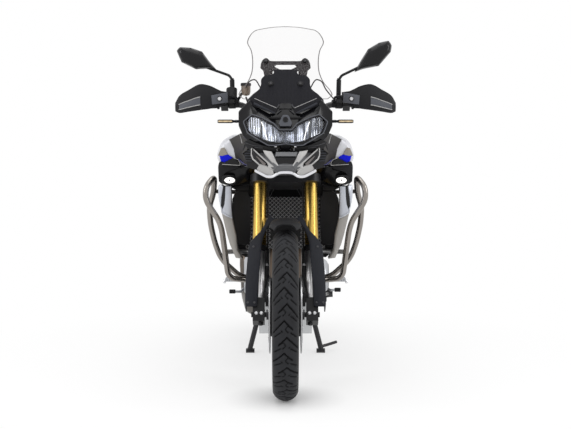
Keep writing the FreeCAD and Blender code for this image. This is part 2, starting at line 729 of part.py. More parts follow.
archHalf = [(0, 371), (36, 371), (50, 366), (54, 382), (59, 380), (61, 352), (57, 352), (53, 359), (36, 366),
            (0, 366)]
arch = about_axle(archHalf[:-1] + [(-36, 366), (-53, 359), (-57, 352), (-61, 352), (-59, 380), (-54, 382),
                                   (-50, 366), (-36, 371)], frontAxle, 50, 56)
panelCorners = [(44, 395), (123, 315), (150, 194), (155, 38), (158, 12), (94, 12), (105, 38), (96, 194),
                (92, 295), (77, 330), (58, 345), (44, 350)]
panel = prism([Vector(x, -72, up) for x, up in panelCorners], Vector(0, -6, 0))
outerSide = loft([[Vector(x, y, up) for x, y in ((out - 5, -2), (out - 5, -76), (out, -76), (out, -2))]
                  for up, out in ((14, 157), (194, 150), (300, 128))])
bridgeCorners = [(44, 392), (62, 372), (62, 345), (44, 345)]
bridge = prism([Vector(x, -72, up) for x, up in bridgeCorners], Vector(0, 60, 0))
guardLeft = less(steered(join(panel, outerSide, bridge)), pieces["fork_tubes"].Shape,
                 pieces["fork_legs"].Shape)
guardLeft = one_solid(guardLeft)
tyreRoom = Part.makeCylinder(size("frontTyreRadius") + 12, 140, frontAxle - Vector(70, 0, 0),
                             Vector(1, 0, 0))
mudguard = join(arch, guardLeft.cut(tyreRoom), mirrored(guardLeft.cut(tyreRoom)))
feature("front_mudguard", one_solid(mudguard))

seatAt, thick = size("discSeat"), size("discThick")
slotIn, slotOut = seatAt - 5.2, seatAt + thick + 5.2
body = about_axle([(slotIn - 12, 98), (slotOut + 11, 98), (slotOut + 11, 160), (slotOut - 2, 170),
                   (slotIn + 2, 170), (slotIn - 12, 160)], frontAxle, 10, 40)
slot = about_axle([(slotIn, 90), (slotOut, 90), (slotOut, 156), (slotIn, 156)], frontAxle, 0, 60)
lug = Part.makeBox(20, 74, 40, spot(slotOut + 3, -728, 372))
caliper = less(join(body.cut(slot), lug), pieces["fork_legs"].Shape, pieces["fork_tubes"].Shape,
               pieces["front_mudguard"].Shape)
caliper = one_solid(caliper)
feature("front_calipers", Part.Compound([caliper, mirrored(caliper)]))

# Main frame: head tube, spars, pivot plates and the seat rails in one weldment
half = size("pivotPlateIn")
plateOut = half + size("pivotPlateThick")
tubeDia, railDia = size("frameTubeDia"), size("railDia")
headTube = steered(Part.makeCylinder(size("headDia") / 2, size("headHigh") - size("headLow"),
                                     Vector(0, 0, size("headLow"))))
headLong = size("headHigh") - size("headLow")
headBore = join(Part.makeCylinder(size("stemDia") / 2 + size("stemGap"), headLong - 36,
                                  Vector(0, 0, size("headLow") + 18)),
                Part.makeCylinder(size("stemDia") / 2 + size("runningGap"), 260,
                                  Vector(0, 0, size("headLow") - 40)))
headBore = steered(headBore)
upperSpar = [on_steer(24, -18, 690), spot(118, -300, 790), spot(138, -60, 704), spot(145, 120, 590),
             spot(145, 150, 520)]
lowerSpar = [on_steer(24, -18, 632), spot(118, -330, 700), spot(142, -170, 560), spot(145, 110, 470)]
rail = [spot(137, -70, 712), spot(122, 60, 752), spot(112, 430, 764), spot(106, 842, 852)]
lowerRail = [spot(145, 196, 520), spot(120, 520, 738), spot(110, 640, 800)]
platePoints = [(85, 560), (215, 560), (236, 430), (214, 268), (132, 268), (88, 380)]
plateHole = [(150, 490), (185, 500), (190, 460), (160, 455)]
sideFrame = [tube(upperSpar, tubeDia, 70), tube(lowerSpar, tubeDia, 70), tube(rail, railDia, 60),
             tube(lowerRail, railDia, 60), rod(spot(126, -236, 760), spot(134, -210, 596), 20),
             rod(spot(137, -80, 712), spot(143, -60, 524), 20),
             side_plate(platePoints, half, plateOut).cut(side_plate(plateHole, half - 5, plateOut + 5))]
crossTubes = [rod(spot(-half, y, z), spot(half, y, z), dia)
              for y, z, dia in ((standPivot.y, standPivot.z, 26), (218, 536, 28), (pivot.y, pivot.z, 20))]
crossTubes += [rod(spot(-118, 300, 760), spot(118, 300, 760), railDia),
               rod(spot(-109, 600, 800), spot(109, 600, 800), railDia),
               rod(spot(-107, 836, 851), spot(107, 836, 851), railDia)]
shockLug = [side_plate([(208, 532), (236, 532), (240, 500), (222, 490), (204, 500)], x,
                       x + 8) for x in (-26, 18)]
frame = join(headTube, *sideFrame, *[mirrored(item) for item in sideFrame], *crossTubes, *shockLug)
frame = one_solid(frame.cut(headBore))
feature("main_frame", frame)


# Chain run: the front sprocket's distance makes the loop a whole number of links
pitch, links = size("chainPitch"), int(size("chainLinks"))
bigTeeth, smallTeeth = int(size("rearTeeth")), int(size("frontTeeth"))
bigRound = pitch / (2 * math.sin(math.pi / bigTeeth))
smallRound = pitch / (2 * math.sin(math.pi / smallTeeth))
drop = rearAxle.z - 415


def loop_links(reach):
    """Links in an open loop round both sprockets at a distance."""
    lean = math.asin((bigRound - smallRound) / reach)
    straight = 2 * reach * math.cos(lean)
    return (straight / pitch + (math.pi + 2 * lean) * bigTeeth / (2 * math.pi)
            + (math.pi - 2 * lean) * smallTeeth / (2 * math.pi))


near, far = 500.0, 800.0
while far - near > 1e-9:
    reach = (near + far) / 2
    if loop_links(reach) < links:
        near = reach
    else:
        far = reach
frontSprocket = spot(0, rearAxle.y - math.sqrt(reach**2 - drop**2), 415)
lineLean = math.asin((bigRound - smallRound) / reach)
centreWay = (rearAxle - frontSprocket).normalize()
centreTurn = math.atan2(centreWay.z, centreWay.y)


def chain_point(distance, aside=0.0):
    """A point (y, z) on the chain, from the top of the rear sprocket's wrap, and out from its pitch line."""
    bigTurn = math.pi + 2 * lineLean
    smallTurn = math.pi - 2 * lineLean
    straight = reach * math.cos(lineLean)
    parts = (bigTurn * bigTeeth * pitch / (2 * math.pi), straight,
             smallTurn * smallTeeth * pitch / (2 * math.pi))
    startTurn = centreTurn + math.pi / 2 + lineLean
    if distance < parts[0]:
        angle = startTurn - distance / parts[0] * bigTurn
        centre, radius = rearAxle, bigRound + aside
        return centre.y + radius * math.cos(angle), centre.z + radius * math.sin(angle)
    distance -= parts[0]
    lowTurn = startTurn - bigTurn
    if distance < straight:
        share = distance / straight
        one = (rearAxle.y + (bigRound + aside) * math.cos(lowTurn),
               rearAxle.z + (bigRound + aside) * math.sin(lowTurn))
        two = (frontSprocket.y + (smallRound + aside) * math.cos(lowTurn),
               frontSprocket.z + (smallRound + aside) * math.sin(lowTurn))
        return one[0] + (two[0] - one[0]) * share, one[1] + (two[1] - one[1]) * share
    distance -= straight
    if distance < parts[2]:
        angle = lowTurn - distance / parts[2] * smallTurn
        return (frontSprocket.y + (smallRound + aside) * math.cos(angle),
                frontSprocket.z + (smallRound + aside) * math.sin(angle))
    distance -= parts[2]
    share = distance / straight
    two = (rearAxle.y + (bigRound + aside) * math.cos(startTurn),
           rearAxle.z + (bigRound + aside) * math.sin(startTurn))
    one = (frontSprocket.y + (smallRound + aside) * math.cos(startTurn),
           frontSprocket.z + (smallRound + aside) * math.sin(startTurn))
    return one[0] + (two[0] - one[0]) * share, one[1] + (two[1] - one[1]) * share


# The first roller sits where a gap of the rear sprocket points straight up
bigTurnAll = math.pi + 2 * lineLean
leadIn = (centreTurn + lineLean) / (2 * math.pi / bigTeeth) * pitch
lane = size("chainLine")
plateFrom = size("sprocketThick") / 2 + 1


def chain_ring(x0, x1):
    """One side of the chain: a closed band of link plates, waisted between its pins."""
    outside, inside = [], []
    for link in range(links):
        distance = leadIn + link * pitch
        loop = links * pitch
        outside.append(chain_point(distance % loop, size("plateHeight") / 2))
        outside.append(chain_point((distance + pitch / 2) % loop, size("plateHeight") / 2 - 1.8))
        inside.append(chain_point(distance % loop, -size("plateHeight") / 2))
    faces = [Part.Face(Part.makePolygon(slice_at(x0, ring + ring[:1]))) for ring in (outside, inside)]
    return faces[0].cut(faces[1]).extrude(Vector(x1 - x0, 0, 0))


def roller(link):
    y, z = chain_point((leadIn + link * pitch) % (links * pitch))
    ahead = chain_point((leadIn + link * pitch + 1) % (links * pitch))
    turn = math.atan2(ahead[1] - z, ahead[0] - y) + math.pi / 2
    corners = [(y + size("rollerDia") / 2 * math.cos(turn + math.pi / 3 * k),
                z + size("rollerDia") / 2 * math.sin(turn + math.pi / 3 * k)) for k in range(6)]
    return side_plate(corners, lane - plateFrom - 0.5, lane + plateFrom + 0.5)


def sprocket(centre, teeth, firstGap, valley, bore, holes):
    """A sprocket disc whose tooth gaps start at an angle."""
    radius = pitch / (2 * math.sin(math.pi / teeth))
    corners = []
    for tooth in range(teeth):
        turn = firstGap + (tooth + 0.5) * 2 * math.pi / teeth
        for out, aside in ((-valley, -4.3), (0, -2.4), (4.6, 0), (0, 2.4), (-valley, 4.3)):
            way = turn + aside / radius
            corners.append((centre.y + (radius + out) * math.cos(way),
                            centre.z + (radius + out) * math.sin(way)))
    disc = side_plate(corners, lane - size("sprocketThick") / 2, lane + size("sprocketThick") / 2)
    tools = [Part.makeCylinder(bore, 40, Vector(lane - 20, centre.y, centre.z), Vector(1, 0, 0))]
    for hole in range(holes):
        way = 2 * math.pi * hole / holes
        middle = (radius + bore) / 2 + 2
        tools.append(Part.makeCylinder(11, 40, Vector(lane - 20, centre.y + middle * math.cos(way),
                                                      centre.z + middle * math.sin(way)), Vector(1, 0, 0)))
    return disc.cut(tools[0].multiFuse(tools[1:]) if holes else tools[0])


rings = [chain_ring(lane - plateFrom - size("plateThick"), lane - plateFrom),
         chain_ring(lane + plateFrom, lane + plateFrom + size("plateThick"))]
chain = rings[0].multiFuse([rings[1]] + [roller(link) for link in range(links)])
feature("chain", one_solid(chain))
nearRoller = chain_point((leadIn + math.ceil((bigTurnAll * bigTeeth * pitch / (2 * math.pi)
                                             + reach * math.cos(lineLean) + 4) / pitch) * pitch))
frontGap = math.atan2(nearRoller[1] - frontSprocket.z, nearRoller[0] - frontSprocket.y)
shaftDia = 24
feature("front_sprocket", sprocket(frontSprocket, smallTeeth, frontGap, 5.2, shaftDia / 2 + 0.05, 0))
feature("rear_sprocket", sprocket(rearAxle, bigTeeth, math.pi / 2, 5.9, size("axleDia") + 0.05, 6))

# Swingarm with the rear axle
armIn, armOut = size("armIn"), size("armIn") + size("armThick")
armLine = [(pivot.y - 16, 450), (430, 414), (690, 372), (772, 366), (780, 306), (700, 298), (430, 344),
           (pivot.y - 16, 386)]
arm = side_plate(armLine, armIn, armOut)
boss = Part.makeCylinder(32, half - size("seatGap") - armIn, Vector(armIn, pivot.y, pivot.z),
                         Vector(1, 0, 0))
brace = Part.makeBox(2 * armIn + 2, 42, 44, spot(-armIn - 1, 290, 378))
shockFoot = [side_plate([(300, 400), (300, 380), (262, 300), (226, 292), (222, 318), (262, 400)], x, x + 8)
             for x in (-27, 19)]
axle = Part.makeCylinder(size("axleDia") / 2, 2 * armOut + 20, rearAxle - Vector(armOut + 10, 0, 0),
                         Vector(1, 0, 0))
nuts = [Part.makeCylinder(19, 12, rearAxle + Vector(x, 0, 0), Vector(1, 0, 0))
        for x in (armOut - 1, -armOut - 11)]
swingarm = join(arm, mirrored(arm), boss, mirrored(boss), brace, axle, *nuts, *shockFoot)
pivotTool = Part.makeCylinder(10 + size("runningGap"), 320, Vector(-160, pivot.y, pivot.z), Vector(1, 0, 0))
feature("swingarm", one_solid(swingarm.cut(pivotTool)))

# Rear shock: eye to eye with its spring
shockTop, shockLow = spot(0, 226, 508), spot(0, 240, 306)
shockWay = (shockTop - shockLow).normalize()
shockLong = (shockTop - shockLow).Length
coil = [(9, 0), (16, 16), (16, 34)]
for turn in range(8):
    base = 38 + turn * 15
    coil += [(24, base), (30, base + 4), (30, base + 8), (24, base + 12)]
coil += [(33, 160), (33, 172), (22, 176), (22, 186), (9, shockLong)]
coil = [(0, 0)] + coil + [(0, shockLong), (0, 0)]
profile = Part.Face(Part.makePolygon([Vector(r, 0, h) for r, h in coil]))
damper = profile.revolve(Vector(0, 0, 0), Vector(0, 0, 1), 360)
damper.Placement = Placement(shockLow, Rotation(Vector(0, 0, 1), shockWay))
eyes = [Part.makeCylinder(17, width - 0.3, at - Vector(width / 2 - 0.15, 0, 0), Vector(1, 0, 0))
        for at, width in ((shockTop, 36), (shockLow, 38))]
shock = less(join(damper, *eyes), pieces["swingarm"].Shape, pieces["main_frame"].Shape)
feature("rear_shock", one_solid(shock))

rearSeatAt = size("rearDiscSeat")
slotIn, slotOut = rearSeatAt - 5.2, rearSeatAt + thick + 5.2
body = about_axle([(-slotIn + 11, 74), (-slotOut - 10, 74), (-slotOut - 10, 138), (-slotIn + 11, 138)],
                  rearAxle, 100, 36)
slot = about_axle([(-slotIn, 60), (-slotOut, 60), (-slotOut, 126), (-slotIn, 126)], rearAxle, 95, 50)
plate = side_plate([(648, 386), (690, 420), (716, 412), (716, 366), (660, 358)], -armIn + 0.3, -slotOut - 1)
feature("rear_caliper", one_solid(less(join(body.cut(slot), plate), pieces["swingarm"].Shape)))

# Engine
lean = math.radians(size("cylinderLean"))
deck = spot(0, -170, 480)
caseSide = [(-290, 300), (-262, 254), (-230, 238), (40, 236), (104, 290), (112, 400), (112, 505), (70, 540),
            (-60, 530), (-108.9, 502.2), (-231.1, 457.8), (-290, 410)]
engineHalf = size("engineHalf")
case = side_plate(caseSide, -engineHalf, engineHalf)
chainRoom = Part.makeBox(40, 130, 116, spot(78, 22, 356))
mounts = [Part.makeCylinder(17, 2 * half - 0.3, Vector(-half + 0.15, y, z), Vector(1, 0, 0))
          for y, z in ((98, 516), (104, 318))]
shaft = Part.makeCylinder(shaftDia / 2, 34, Vector(72, frontSprocket.y, frontSprocket.z), Vector(1, 0, 0))


def cover(side, y, z, radius, far, steps, bosses):
    """A stepped round cover on one side of the crankcase, with screw bosses round its rim."""
    out = [(engineHalf - 4, radius)] + [(engineHalf + (far - engineHalf) * share, radius * width)
                                        for share, width in steps]
    face = [Vector(x, 0, 0) for x, r in (out[0],)] + [Vector(x, r, 0) for x, r in out]
    face += [Vector(out[-1][0], 0, 0), Vector(out[0][0], 0, 0)]
    solid = Part.Face(Part.makePolygon(face)).revolve(Vector(0, 0, 0), Vector(1, 0, 0), 360)
    bossLong = 4 + (far - engineHalf) * steps[0][0]
    for boss in range(bosses):
        way = 2 * math.pi * (boss + 0.5) / bosses
        foot = Vector(engineHalf - 4, radius * math.cos(way), radius * math.sin(way))
        solid = solid.fuse(Part.makeCylinder(size("coverBossDia") / 2, bossLong, foot, Vector(1, 0, 0)))
    solid.translate(Vector(0, y, z))
    return solid if side > 0 else mirrored(solid)


steps = [(0.35, 1), (0.42, 0.93), (0.8, 0.9), (0.94, 0.78), (1, 0.6)]
clutch = cover(-1, -48, 392, 104, size("clutchCoverOut"), steps, 9)
generator = cover(1, -92, 396, 82, size("generatorCoverOut"), steps, 7)
pump = cover(-1, -190, 330, 46, 130, steps, 4)
caseFront = spot(0, caseSide[0][0], 345)
oilFilter = Part.makeCylinder(size("oilFilterDia") / 2, size("oilFilterLong") + 10,
                              caseFront + Vector(0, 10, 0), Vector(0, -1, 0))
starter = rod(spot(-60, -20, 560), spot(60, -20, 560), 60)
gearbox = join(case, starter, *mounts, clutch, generator, pump, oilFilter).cut(chainRoom)
feature("engine_case", one_solid(join(gearbox, shaft)))

headTurn = Placement(deck, Rotation(Vector(1, 0, 0), size("cylinderLean")))


def on_deck(shape):
    moved = shape.copy()
    moved.Placement = headTurn.multiply(moved.Placement)
    return moved


cylinderHalf = size("cylinderHalf")
blockShape = Part.makeBox(2 * cylinderHalf - 8, 122, 92, Vector(-cylinderHalf + 4, -61, 0))
ribThick = size("cylinderRibThick")
ribStep = 90 / (size("cylinderRibs") + 1)
ribs = [Part.makeBox(2 * cylinderHalf, 130, ribThick, Vector(-cylinderHalf, -65,
                                                             ribStep * (k + 1) - ribThick / 2))
        for k in range(int(size("cylinderRibs")))]
headShape = Part.makeBox(2 * cylinderHalf, 132, 96, Vector(-cylinderHalf, -66, 90))
camLevels = ((185, cylinderHalf - 2, 64), (222, cylinderHalf - 4, 60), (240, cylinderHalf - 14, 46))
camShape = loft([level_at(up, [(-w, -d), (w, -d), (w, d), (-w, d)]) for up, w, d in camLevels])
ports = [Part.makeCylinder(27, 20, Vector(x, -64, 138), Vector(0, -1, 0)) for x in (-46, 46)]
intakes = [Part.makeCylinder(27, 60, Vector(x, 64, 150), Vector(0, 0.94, 0.34)) for x in (-46, 46)]
cylinderTop = on_deck(join(blockShape, *ribs, headShape, camShape, *ports, *intakes))
feature("cylinder_head", one_solid(less(cylinderTop, pieces["engine_case"].Shape)))

airbox = loft([level_at(742, [(-92, -186), (92, -186), (92, 66), (-92, 66)]),
               level_at(760, [(-100, -196), (100, -196), (100, 76), (-100, 76)]),
               level_at(814, [(-100, -196), (100, -196), (100, 70), (-100, 70)])])
feature("airbox", one_solid(less(airbox, pieces["cylinder_head"].Shape, pieces["main_frame"].Shape)))

# Radiator with its side tanks; the core's fins show between them
radHalf, radHigh, radThick = size("radiatorHalf"), size("radiatorHigh"), size("radiatorThick")
core = Part.makeBox(2 * radHalf - 56, radThick, radHigh - 24, Vector(-radHalf + 28, 0, 12))
finCount = int(size("radiatorFins"))
finStep = (radHigh - 24) / finCount
fins = [Part.makeBox(2 * radHalf - 60, 3, finStep * 0.5, Vector(-radHalf + 30, -1,
                                                                12 + finStep * (k + 0.25)))
        for k in range(finCount)]
core = core.cut(fins[0].multiFuse(fins[1:]))
tanks = [Part.makeBox(30, radThick + 6, radHigh, Vector(x, -3, 0)) for x in (-radHalf, radHalf - 30)]
bands = [Part.makeBox(2 * radHalf, radThick + 4, 14, Vector(-radHalf, -2, z)) for z in (0, radHigh - 14)]
fan = Part.makeCylinder(72, 24, Vector(0, radThick - 2, radHigh / 2), Vector(0, 1, 0))
fillerCap = Part.makeCylinder(17, 14, Vector(radHalf - 15, radThick / 2, radHigh), Vector(0, 0, 1))
radiator = join(core, *tanks, *bands, fan, fillerCap)
radTurn = Placement(spot(0, -451, 556), Rotation(Vector(1, 0, 0), -7.1))
radiator.Placement = radTurn
radStays = [rod(spot(x, -412, 690), spot(x, -330, 700), 14) for x in (-118, 118)]
radStays += [rod(spot(x, -420, 580), spot(x * 1.07, -252, 632), 14) for x in (-124, 124)]
# Coolant hoses: from the left tank to the head, and from the right tank to the pump
hoseOver = [spot(150, -424, 678), spot(150, -392, 672), spot(104, -372, 640), spot(86, -330, 632),
            spot(86, -286, 638)]
hoseUnder = [spot(-150, -426, 586), spot(-150, -394, 568), spot(-140, -340, 480), spot(-122, -262, 380),
             spot(-116, -222, 346)]
hoses = [tube(points, size("coolantHoseDia"), 34) for points in (hoseOver, hoseUnder)]
radiator = less(join(radiator, *radStays, *hoses), pieces["main_frame"].Shape, pieces["cylinder_head"].Shape,
                pieces["engine_case"].Shape)
feature("radiator", one_solid(radiator))


def seated(shape, *nodes):
    """The shape's main solid with the named pieces cut away, so that it lies face to face with them."""
    box = shape.BoundBox
    for node in nodes:
        other = pieces[node].Shape
        if box.intersect(other.BoundBox):
            shape = shape.cut(other)
    return one_solid(shape)


def symmetric(half):
    """A whole outline from its +X half, which starts and ends on the middle plane."""
    return half + [(-x, z) for x, z in reversed(half) if x > 0]


# Exhaust: two downpipes under the engine, then up the right side to the silencer
pipeDia = 40
leftPipe = [spot(46, -300, 628), spot(46, -352, 606), spot(48, -376, 540), spot(50, -376, 300),
            spot(44, -330, 214), spot(-10, -180, 210), spot(-62, -60, 212)]
rightPipe = [spot(-46, -300, 628), spot(-46, -352, 606), spot(-48, -376, 540), spot(-50, -376, 300),
             spot(-56, -330, 214), spot(-60, -180, 211), spot(-66, -60, 212)]
tailPipe = [spot(-62, -80, 212), spot(-110, -20, 214), spot(-164, 60, 226), spot(-186, 220, 262),
            spot(-198, 320, 400), spot(-200, 420, 505)]
collector = loft([[spot(-64 + r * math.cos(a) * w, y, 212 + r * math.sin(a)) for a in
                   [math.pi * k / 6 for k in range(12)]] for y, r, w in
                  ((-150, 23, 1.9), (-96, 25, 1.5), (-60, 24, 1.0))])
headerShape = join(tube(leftPipe, pipeDia, 50), tube(rightPipe, pipeDia, 50), tube(tailPipe, 46, 60),
                   collector)
feature("exhaust_header", seated(headerShape, "cylinder_head", "engine_case", "main_frame"))

silencerLow, silencerTop = spot(-200, 404, 488), spot(-206, 800, 646)
silencerWay = (silencerTop - silencerLow).normalize()
silencerLong = (silencerTop - silencerLow).Length
silencerTurn = Placement(silencerLow, Rotation(Vector(0, 0, 1), silencerWay))


def can_section(up, wide, high):
    corners = [(0.5, -1), (1, -0.45), (1, 0.45), (0.5, 1), (-0.5, 1), (-1, 0.45), (-1, -0.45), (-0.5, -1)]
    return [silencerTurn.multVec(Vector(x * wide, y * high, up)) for x, y in corners]


can = loft([can_section(0, 26, 26), can_section(46, 50, 58), can_section(silencerLong - 50, 52, 62),
            can_section(silencerLong - 8, 44, 52), can_section(silencerLong, 40, 48)])
outlet = Part.makeCylinder(20, 60, silencerLow + silencerWay * (silencerLong - 50), silencerWay)
can = can.cut(outlet)
strap = join(rod(spot(-110, 612, 798), spot(-196, 640, 640), 16),
             rod(spot(-109, 560, 789), spot(-196, 590, 620), 16))
feature("silencer", seated(join(can, strap), "exhaust_header", "main_frame"))

# Skid plate under the engine
skidLine = [(-408, 344), (-404, 300), (-372, 214), (-340, 186), (30, 186), (84, 206), (84, 201), (31, 180),
            (-343, 180), (-377, 210), (-409, 300), (-413, 344)]
skid = side_plate(skidLine, -112, 112)
skidFlank = [(-404, 320), (-372, 214), (-340, 184), (40, 184), (10, 226), (-300, 238), (-368, 300)]
skidSides = [side_plate(skidFlank, x, x + 4) for x in (-112, 108)]
skidPosts = [rod(spot(x, y, 184), spot(x, y, 300), 16) for x in (-84, 84) for y in (-230, 10)]
feature("skid_plate", seated(join(skid, *skidSides, *skidPosts), "engine_case", "exhaust_header"))

# Stands
standY, standZ = standPivot.y, standPivot.z
footY = standY - size("standLead")
legAt, footAtX = size("standLegAt"), size("standFootAt")
legWay = (spot(0, footY, 0) - spot(0, standY, standZ)).normalize()
legLine = [spot(legAt, standY, standZ), spot(legAt, standY, standZ) + legWay * 84,
           spot(footAtX, footY, 0) - legWay * 14]
sleeve = Part.makeCylinder(20, 34, spot(legAt - 17, standY, standZ), Vector(1, 0, 0))
pad = side_plate([(footY - 26, 6), (footY - 14, 0), (footY + 14, 0), (footY + 26, 6), (footY + 12, 18),
                  (footY - 12, 18)], footAtX - 22, footAtX + 18)
standSide = join(tube(legLine, size("standTubeDia"), 50), sleeve, pad)
bridgeAt = spot(0, standY, standZ) + legWay * 106
standBridge = rod(spot(-legAt - 6, bridgeAt.y, bridgeAt.z), spot(legAt + 6, bridgeAt.y, bridgeAt.z), 22)
tang = tube([spot(footAtX - 4, footY + 4, 26), spot(footAtX + 30, footY + 22, 32),
             spot(242, footY + 52, 40)], 14, 30)
centreStand = join(standSide, mirrored(standSide), standBridge, tang)
standBore = Part.makeCylinder(13 + size("runningGap"), 400, spot(-200, standY, standZ), Vector(1, 0, 0))
feature("centre_stand", one_solid(centreStand.cut(standBore)))

sidePivot = spot(166, 20, 276)
sideBracket = join(side_plate([(-2, 296), (-2, 262), (42, 256), (140, 270), (150, 296)], 146, 156),
                   Part.makeCylinder(8, 34, sidePivot - Vector(12, 0, 0), Vector(1, 0, 0)),
                   Part.makeCylinder(14, 4, sidePivot + Vector(18, 0, 0), Vector(1, 0, 0)))
frameWithBracket = join(pieces["main_frame"].Shape, sideBracket)
pieces["main_frame"].Shape = one_solid(frameWithBracket)
sideReach = size("sideStandLength")
sideFoot = sidePivot + Vector(38, sideReach, -12)
sideStand = join(Part.makeCylinder(18, 14, sidePivot - Vector(5, 0, 0) + Vector(2, 0, 0), Vector(1, 0, 0)),
                 tube([sidePivot + Vector(4, 6, 0), sidePivot + Vector(8, 60, -2), sideFoot], 20, 60),
                 loft([[sideFoot + Vector(x, y, z) for x, z in ((-16, -17), (22, -17), (22, 19), (-16, 19))]
                       for y in (-4, 5)]),
                 rod(sidePivot + Vector(12, 70, -3), sidePivot + Vector(52, 84, 2), 10))
sideStand = sideStand.cut(Part.makeCylinder(8 + size("runningGap"), 60, sidePivot - Vector(30, 0, 0),
                                            Vector(1, 0, 0)))
feature("side_stand", one_solid(sideStand))

# Foot pegs with the gear lever on the left and the brake pedal on the right
pegBox = join(side_plate([(98, 372), (142, 372), (132, 336), (104, 336)], plateOut + 0.15, plateOut + 20),
              Part.makeBox(112, 34, 13, spot(plateOut + 18, 101, 343)),
              *[Part.makeBox(106, 4, 5, spot(plateOut + 22, y, 355)) for y in (101, 113, 125, 131)])
gearLever = tube([spot(164, 104, 352), spot(182, 66, 332), spot(200, -28, 322), spot(246, -34, 324)], 11, 16)
brakePedal = tube([spot(-164, 104, 352), spot(-182, 66, 326), spot(-202, -40, 316), spot(-250, -46, 318)],
                  12, 16)
feature("foot_controls", Part.Compound([one_solid(join(pegBox, gearLever)),
                                        one_solid(join(mirrored(pegBox), brakePedal))]))


# Tank, seats and tail
def hull(y, corners):
    return station(y, symmetric(corners))


tankShape = loft([
    hull(-338, [(0, 960), (46, 956), (92, 930), (112, 880), (96, 822), (0, 813)]),
    hull(-290, [(0, 996), (56, 990), (112, 960), (140, 890), (124, 826), (0, 813)]),
    hull(-200, [(0, 1016), (66, 1008), (134, 972), (162, 896), (146, 830), (0, 813)]),
    hull(-90, [(0, 1000), (62, 992), (130, 952), (160, 890), (146, 830), (0, 813)]),
    hull(20, [(0, 952), (50, 944), (104, 912), (132, 872), (120, 828), (0, 813)]),
    hull(96, [(0, 890), (40, 886), (78, 870), (98, 850), (92, 826), (0, 813)]),
    hull(124, [(0, 864), (36, 862), (66, 852), (84, 840), (80, 826), (0, 815)]),
])
cap = Part.makeCylinder(38, 26, spot(0, -150, 992), Vector(0, 0.1, 1))
feature("fuel_tank", seated(join(tankShape, cap), "airbox", "main_frame"))

riderSeat = loft([
    hull(104, [(0, 872), (52, 868), (76, 842), (84, 806), (0, 800)]),
    hull(170, [(0, 858), (70, 856), (100, 832), (108, 796), (0, 784)]),
    hull(280, [(0, 848), (110, 850), (140, 828), (140, 790), (0, 782)]),
    hull(390, [(0, 856), (122, 860), (154, 836), (146, 796), (0, 786)]),
    hull(432, [(0, 896), (118, 898), (148, 870), (144, 820), (0, 800)]),
])
feature("rider_seat", seated(riderSeat, "fuel_tank", "main_frame"))
pillionSeat = loft([
    hull(428, [(0, 902), (92, 902), (124, 880), (132, 840), (0, 812)]),
    hull(470, [(0, 930), (108, 930), (138, 904), (138, 856), (0, 830)]),
    hull(640, [(0, 938), (104, 938), (132, 912), (130, 872), (0, 850)]),
    hull(792, [(0, 936), (78, 936), (104, 914), (104, 884), (0, 868)]),
])
feature("pillion_seat", seated(pillionSeat, "rider_seat", "main_frame"))

tailSide = loft([
    station(150, [(118, 816), (142, 800), (150, 752), (136, 712), (118, 720)]),
    station(300, [(130, 806), (152, 790), (158, 742), (142, 706), (124, 716)]),
    station(520, [(126, 868), (150, 846), (156, 790), (138, 752), (120, 762)]),
    station(720, [(112, 896), (132, 872), (136, 832), (122, 806), (106, 812)]),
    station(886, [(84, 900), (104, 886), (106, 860), (96, 846), (80, 852)]),
])
tailSide = tailSide.cut(pieces["rider_seat"].Shape).cut(pieces["pillion_seat"].Shape)
tailBack = loft([hull(846, [(0, 900), (84, 898), (100, 880), (100, 862), (84, 846), (0, 842)]),
                 hull(900, [(0, 896), (74, 894), (90, 880), (90, 866), (74, 852), (0, 850)])])
seatPan = loft([hull(448, [(0, 806), (100, 806), (118, 800), (118, 790), (0, 790)]),
              hull(860, [(0, 862), (80, 862), (96, 858), (96, 848), (0, 846)])])
tailShape = join(one_solid(tailSide), mirrored(one_solid(tailSide)), tailBack, seatPan)
feature("tail_cowl", seated(tailShape, "rider_seat", "pillion_seat", "main_frame", "silencer"))

rackOutline = [(-64, 770), (64, 770), (86, 820), (86, 930), (60, 962), (-60, 962), (-86, 930), (-86, 820)]
rackPlate = loft([level_at(z, rackOutline) for z in (952, 960)])
rackSlots = [Part.makeBox(18, 84, 40, spot(x, 840, 940)) for x in (-44, 26)]
rackHoles = [Part.makeCylinder(4.25, 60, spot(x, y, 930)) for x in (-62, 62) for y in (834, 924)]
grabRail = tube([spot(112, 560, 800), spot(146, 590, 862), spot(150, 640, 904), spot(136, 760, 938),
                 spot(104, 900, 952), spot(60, 944, 954)], 20, 40)
rackStay = rod(spot(62, 850, 852), spot(62, 870, 955), 16)
rack = join(rackPlate, grabRail, mirrored(grabRail), rackStay, mirrored(rackStay))
rack = rack.cut(rackSlots[0].multiFuse(rackSlots[1:] + rackHoles))
feature("luggage_rack", seated(rack, "pillion_seat", "tail_cowl", "main_frame", "rider_seat"))

lamp = loft([hull(896, [(0, 892), (66, 890), (80, 880), (80, 868), (66, 858), (0, 856)]),
             hull(922, [(0, 888), (58, 887), (70, 878), (70, 870), (58, 862), (0, 860)])])
feature("tail_lamp", seated(lamp, "tail_cowl"))
carrierLine = [(862, 846), (900, 850), (958, 800), (1034, 700), (1090, 596), (1102, 562), (1092, 556),
               (1080, 590), (1020, 690), (940, 786), (880, 816), (850, 820)]
plateTurn = Rotation(Vector(1, 0, 0), 27)
plateBack = Part.makeBox(188, 6, 148, Vector(-94, 0, 0))
plateFoot = spot(0, 1099.69, 566)
plateBack.Placement = Placement(plateFoot, plateTurn)
carrier = join(side_plate(carrierLine, -42, 42), plateBack, rod(spot(-120, 985, 756), spot(120, 985, 756),
                                                                14))
feature("plate_carrier", seated(carrier, "tail_cowl", "tail_lamp", "main_frame"))
blank = Part.makeBox(180, 2, 140, Vector(-90, 6, 4))
blank.Placement = Placement(plateFoot, plateTurn)
feature("number_plate", seated(blank, "plate_carrier"))


